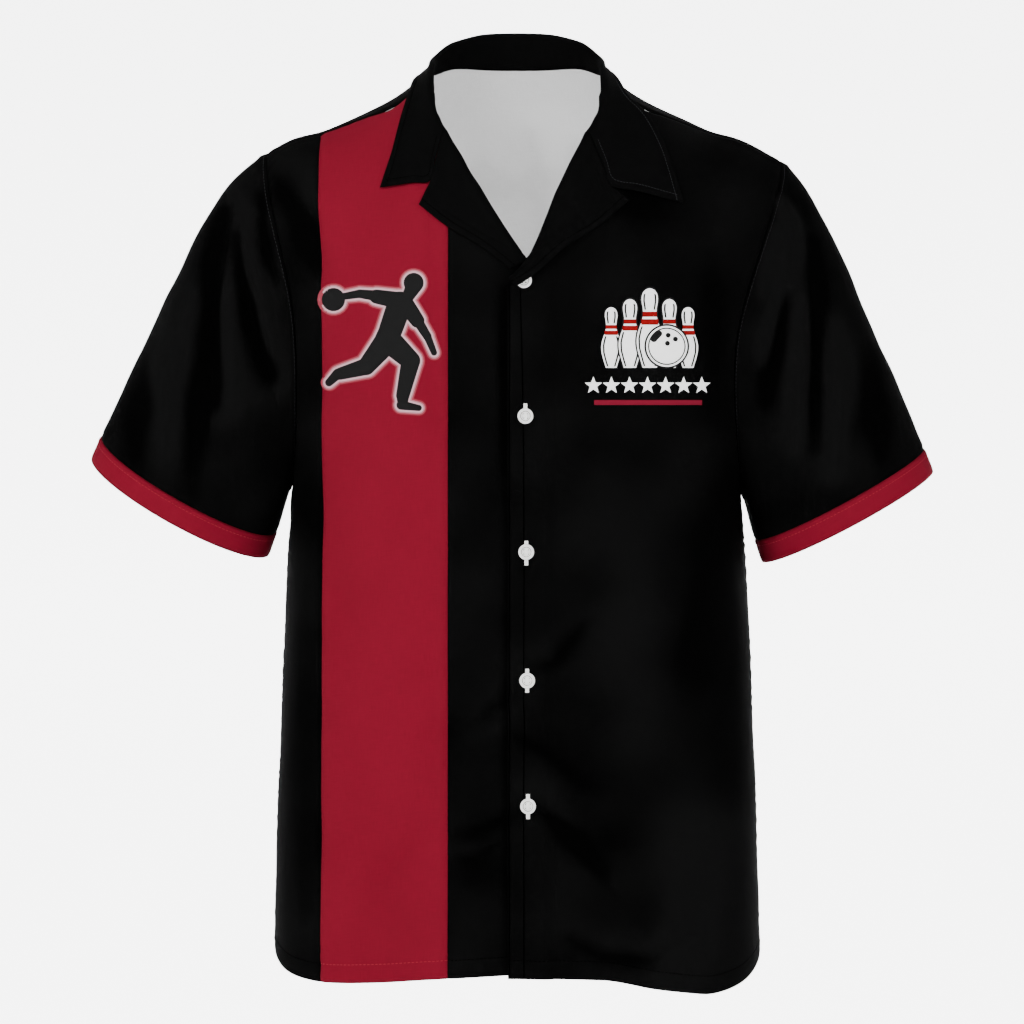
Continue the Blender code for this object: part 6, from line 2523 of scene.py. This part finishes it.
class BowlingShirt:
    """The whole shirt, put together from its pieces."""

    def __init__(self) -> None:
        """Make the finishes and the stitch maker."""
        self.finishes = Finishes()
        self.stitches = StitchMaker()
        self.cuts = Cuts()

    def panels(self) -> dict[str, BodyPanel]:
        """The fronts and the back, not yet built."""
        f, cuts = self.finishes, self.cuts
        first, last = Edge.FIRST_COLUMN, Edge.LAST_COLUMN
        hem, top = Edge.FIRST_ROW, Edge.LAST_ROW
        grid = ShirtForm.front_grid
        shoulder = Border(dip=0.0009, fade=0.014, swell=0.0003, pucker=0.00015)
        return {
            "front_right_side": BodyPanel(
                "front_right_side", grid(RIGHT, ARM_SHARES, RIGHT_STRIPE[:1]), FRONT_CREASES,
                {first: SET_IN, last: SEAM, hem: HEM_EDGE, top: shoulder},
                cuts.right_side, f.black, "black_cloth",
            ),
            "front_right_stripe": BodyPanel(
                "front_right_stripe", grid(RIGHT, (), RIGHT_STRIPE), FRONT_CREASES,
                {first: SEAM, last: SEAM, hem: HEM_EDGE, top: shoulder},
                cuts.right_stripe, f.red, "red_cloth",
            ),
            "front_right_centre": BodyPanel(
                "front_right_centre", grid(RIGHT, (), RIGHT_CENTRE),
                FRONT_CREASES + PLACKET_CREASES,
                {first: SEAM, last: FREE, hem: HEM_EDGE, top: FREE},
                cuts.right_centre, f.black, "black_cloth",
            ),
            "front_left": BodyPanel(
                "front_left", grid(LEFT, ARM_SHARES, LEFT_FRONT), FRONT_CREASES,
                {first: SET_IN, last: FRONT_EDGE, hem: HEM_EDGE, top: shoulder},
                cuts.front_left, f.black, "black_cloth", overlap_lift,
            ),
            "back": BodyPanel(
                "back", ShirtForm.back_grid(), BACK_CREASES,
                {first: SIDE_SEAM, last: SIDE_SEAM, hem: HEM_EDGE, top: shoulder},
                cuts.back, f.black, "black_cloth",
            ),
        }

    def build(self) -> None:
        """Build every piece of the shirt."""
        f = self.finishes
        panels = self.panels()
        for panel in panels.values():
            panel.build(f.reverse)
            self.note(panel.node, panel.cloth)
        collar = Collar(self.cuts.collar)
        made = collar.build("shirt_collar", f.black)
        hung(made, "collar")
        self.note("collar", collar.cloth)
        puckers = tuple(
            Crease(((0.0480 - 0.0062 * k, -0.1030 - 0.0046 * k),
                    (0.0545 - 0.0062 * k, -0.1090 - 0.0046 * k)), 0.0022, -0.0007)
            for k in range(5)
        )
        line = Crease(((0.0555, -0.0971), (0.0087, -0.1306)), 0.0016, -0.0007)
        gorge = Crease(((-0.0626, -0.0905), (-0.0507, -0.0979), (-0.0277, -0.1120), (-0.0061, -0.1239)),
                       0.0016, -0.0007)
        lapels = []
        for side, cut, dents in (
            (RIGHT, self.cuts.lapel_right, (gorge,)),
            (LEFT, self.cuts.lapel_left, (line, *puckers)),
        ):
            lapel = Lapel(side, cut)
            name = "lapel_" + side.name.lower()
            hung(lapel.build("shirt_" + name, f.black, dents), name)
            self.note(name, lapel.cloth)
            lapels.append(lapel)
        sleeves = [Sleeve(side, self.cuts.sleeve, self.cuts.band) for side in Side]
        for sleeve in sleeves:
            sleeve.build(f)
            self.note("sleeve", sleeve.cloth)
            self.note("band", sleeve.band)
        self.turn_in(panels, sleeves)
        self.sew(panels, collar, lapels, sleeves)
        bed = PrintBed([panels[k].cloth for k in ("front_left", "front_right_stripe",
                                                  "front_right_side", "front_right_centre")])
        BowlerPrint().lay(bed, f)
        PinsPrint().lay(bed, f)
        self.fasten(PrintBed([panels["front_left"].cloth]))

    @staticmethod
    def note(name: str, cloth: ClothGrid) -> None:
        """Log a piece's measured spans and area."""
        across, up = cloth.spans()
        p = cloth.points
        q = np.roll(p, -1, axis=1)[:-1] if cloth.closed else p[:-1, 1:]
        a = p[:-1] if cloth.closed else p[:-1, :-1]
        area = np.linalg.norm(np.cross(q - a, (p[1:] if cloth.closed else p[1:, :-1]) - a), axis=-1)
        log.info(
            "%s wide %.3f long %.3f area %.4f", name, across[:, -1].max(), up[-1].max(), area.sum()
        )

    def turn_in(self, panels: dict, sleeves: list) -> None:
        """Lay the seam allowances behind the panels' borders."""
        sides = {
            "front_right_side": (Edge.FIRST_COLUMN, Edge.LAST_COLUMN, Edge.LAST_ROW),
            "front_right_stripe": (Edge.LAST_COLUMN, Edge.LAST_ROW),
            "front_left": (Edge.FIRST_COLUMN, Edge.LAST_ROW),
            "front_right_centre": (Edge.LAST_ROW,),
            "back": (Edge.FIRST_COLUMN, Edge.LAST_COLUMN),
        }
        for node, edges in sides.items():
            for edge in edges:
                name = f"allowance_{node}_{edge.name.lower()}"
                allowance(name, panels[node].cloth, edge, self.finishes.inside)
        back = panels["back"].cloth
        rounds = {
            RIGHT: (
                (panels["front_right_side"].cloth, Edge.FIRST_COLUMN), (back, Edge.FIRST_COLUMN)
            ),
            LEFT: ((panels["front_left"].cloth, Edge.FIRST_COLUMN), (back, Edge.LAST_COLUMN)),
        }
        for sleeve in sleeves:
            name = "allowance_armhole_" + sleeve.side.name.lower()
            armhole_tape(name, sleeve.cloth, rounds[sleeve.side], self.finishes.inside)

    def sew(self, panels: dict, collar: Collar, lapels: list, sleeves: list) -> None:
        """Lay every seam's and hem's stitching."""
        f, run = self.finishes, self.stitches.run
        inset = {name: panel.cloth.inset for name, panel in panels.items()}
        black = [
            inset["front_right_side"](Edge.FIRST_ROW, 0.0135),
            inset["front_right_centre"](Edge.FIRST_ROW, 0.0135),
            inset["front_left"](Edge.FIRST_ROW, 0.0135),
            inset["back"](Edge.FIRST_ROW, 0.0135),
        ]
        run("stitching_hem_black", black, f.black_thread)
        # two rows of thick pure black thread, set almost end to end: at the left front's edge a painted
        # shadow line of the edge lying over the right front, and near the buttons real topstitching
        # thickened into painted shade along the placket's crease
        placket_shadow_lines = [inset["front_left"](Edge.LAST_COLUMN, gap) for gap in (0.0009, 0.0118)]
        run("stitching_placket", placket_shadow_lines, f.black_thread, 0.0026, 0.0028, 0.00048)
        run(
            "stitching_hem_red", [inset["front_right_stripe"](Edge.FIRST_ROW, 0.0135)], f.red_thread
        )
        seams = [sleeve.cloth.inset(Edge.FIRST_ROW, 0.0028) for sleeve in sleeves]
        run("stitching_seams", seams, f.grey_thread)
        bands = [sleeve.band.inset(Edge.FIRST_ROW, 0.0046) for sleeve in sleeves]
        run("stitching_bands", bands, f.red_thread)
        whole = collar.cloth.inset(Edge.LAST_COLUMN, 0.0052)
        edges = [whole.part(0.0, 0.80), collar.cloth.inset(Edge.FIRST_ROW, 0.0052).part(0.42, 0.98)]
        edges += [lapel.cloth.inset(Edge.LAST_COLUMN, 0.0045) for lapel in lapels]
        run("stitching_collar", edges, f.black_thread, spacing=0.0027, length=0.0020)
        ends = [whole.part(0.80, 1.0), collar.cloth.inset(Edge.LAST_ROW, 0.0052).part(0.42, 0.98)]
        run("stitching_collar_left", ends, f.grey_thread, spacing=0.0024, length=0.0021)

    def fasten(self, bed: PrintBed) -> None:
        """Make the buttons, their thread and their buttonholes."""
        blank = Button.blank()
        strands, strand_lies, satin, satin_lies = [], [], [], []
        holes = (
            (0.0, 0.0), (-0.0022, 0.0140), (0.0008, 0.0178), (0.0001, 0.0172), (0.0002, 0.0180)
        )
        for number, (node, hole) in enumerate(zip(BUTTON_NODES, holes)):
            button = Button(node, *hole)
            button.build(blank, self.finishes)
            places, lies = button.thread_places()
            strands += places
            strand_lies += lies
            if number > 0:
                places, lies = button.hole_places(bed)
                satin += places
                satin_lies += lies
        white = self.finishes.white_thread
        lay = self.stitches.lay
        lay("thread_buttons", np.array(strands), np.array(strand_lies), 0.00017, 0.0034, white)
        lay("thread_buttonholes", np.array(satin), np.array(satin_lies), 0.00024, 0.0016, white)


def main() -> None:
    """Build the shirt and the studio, and note how large the shown shirt is."""
    logging.basicConfig(level=logging.INFO, format="%(name)s: %(message)s")
    BowlingShirt().build()
    Studio().build()
    bpy.context.view_layer.update()


if __name__ == "__main__":
    main()
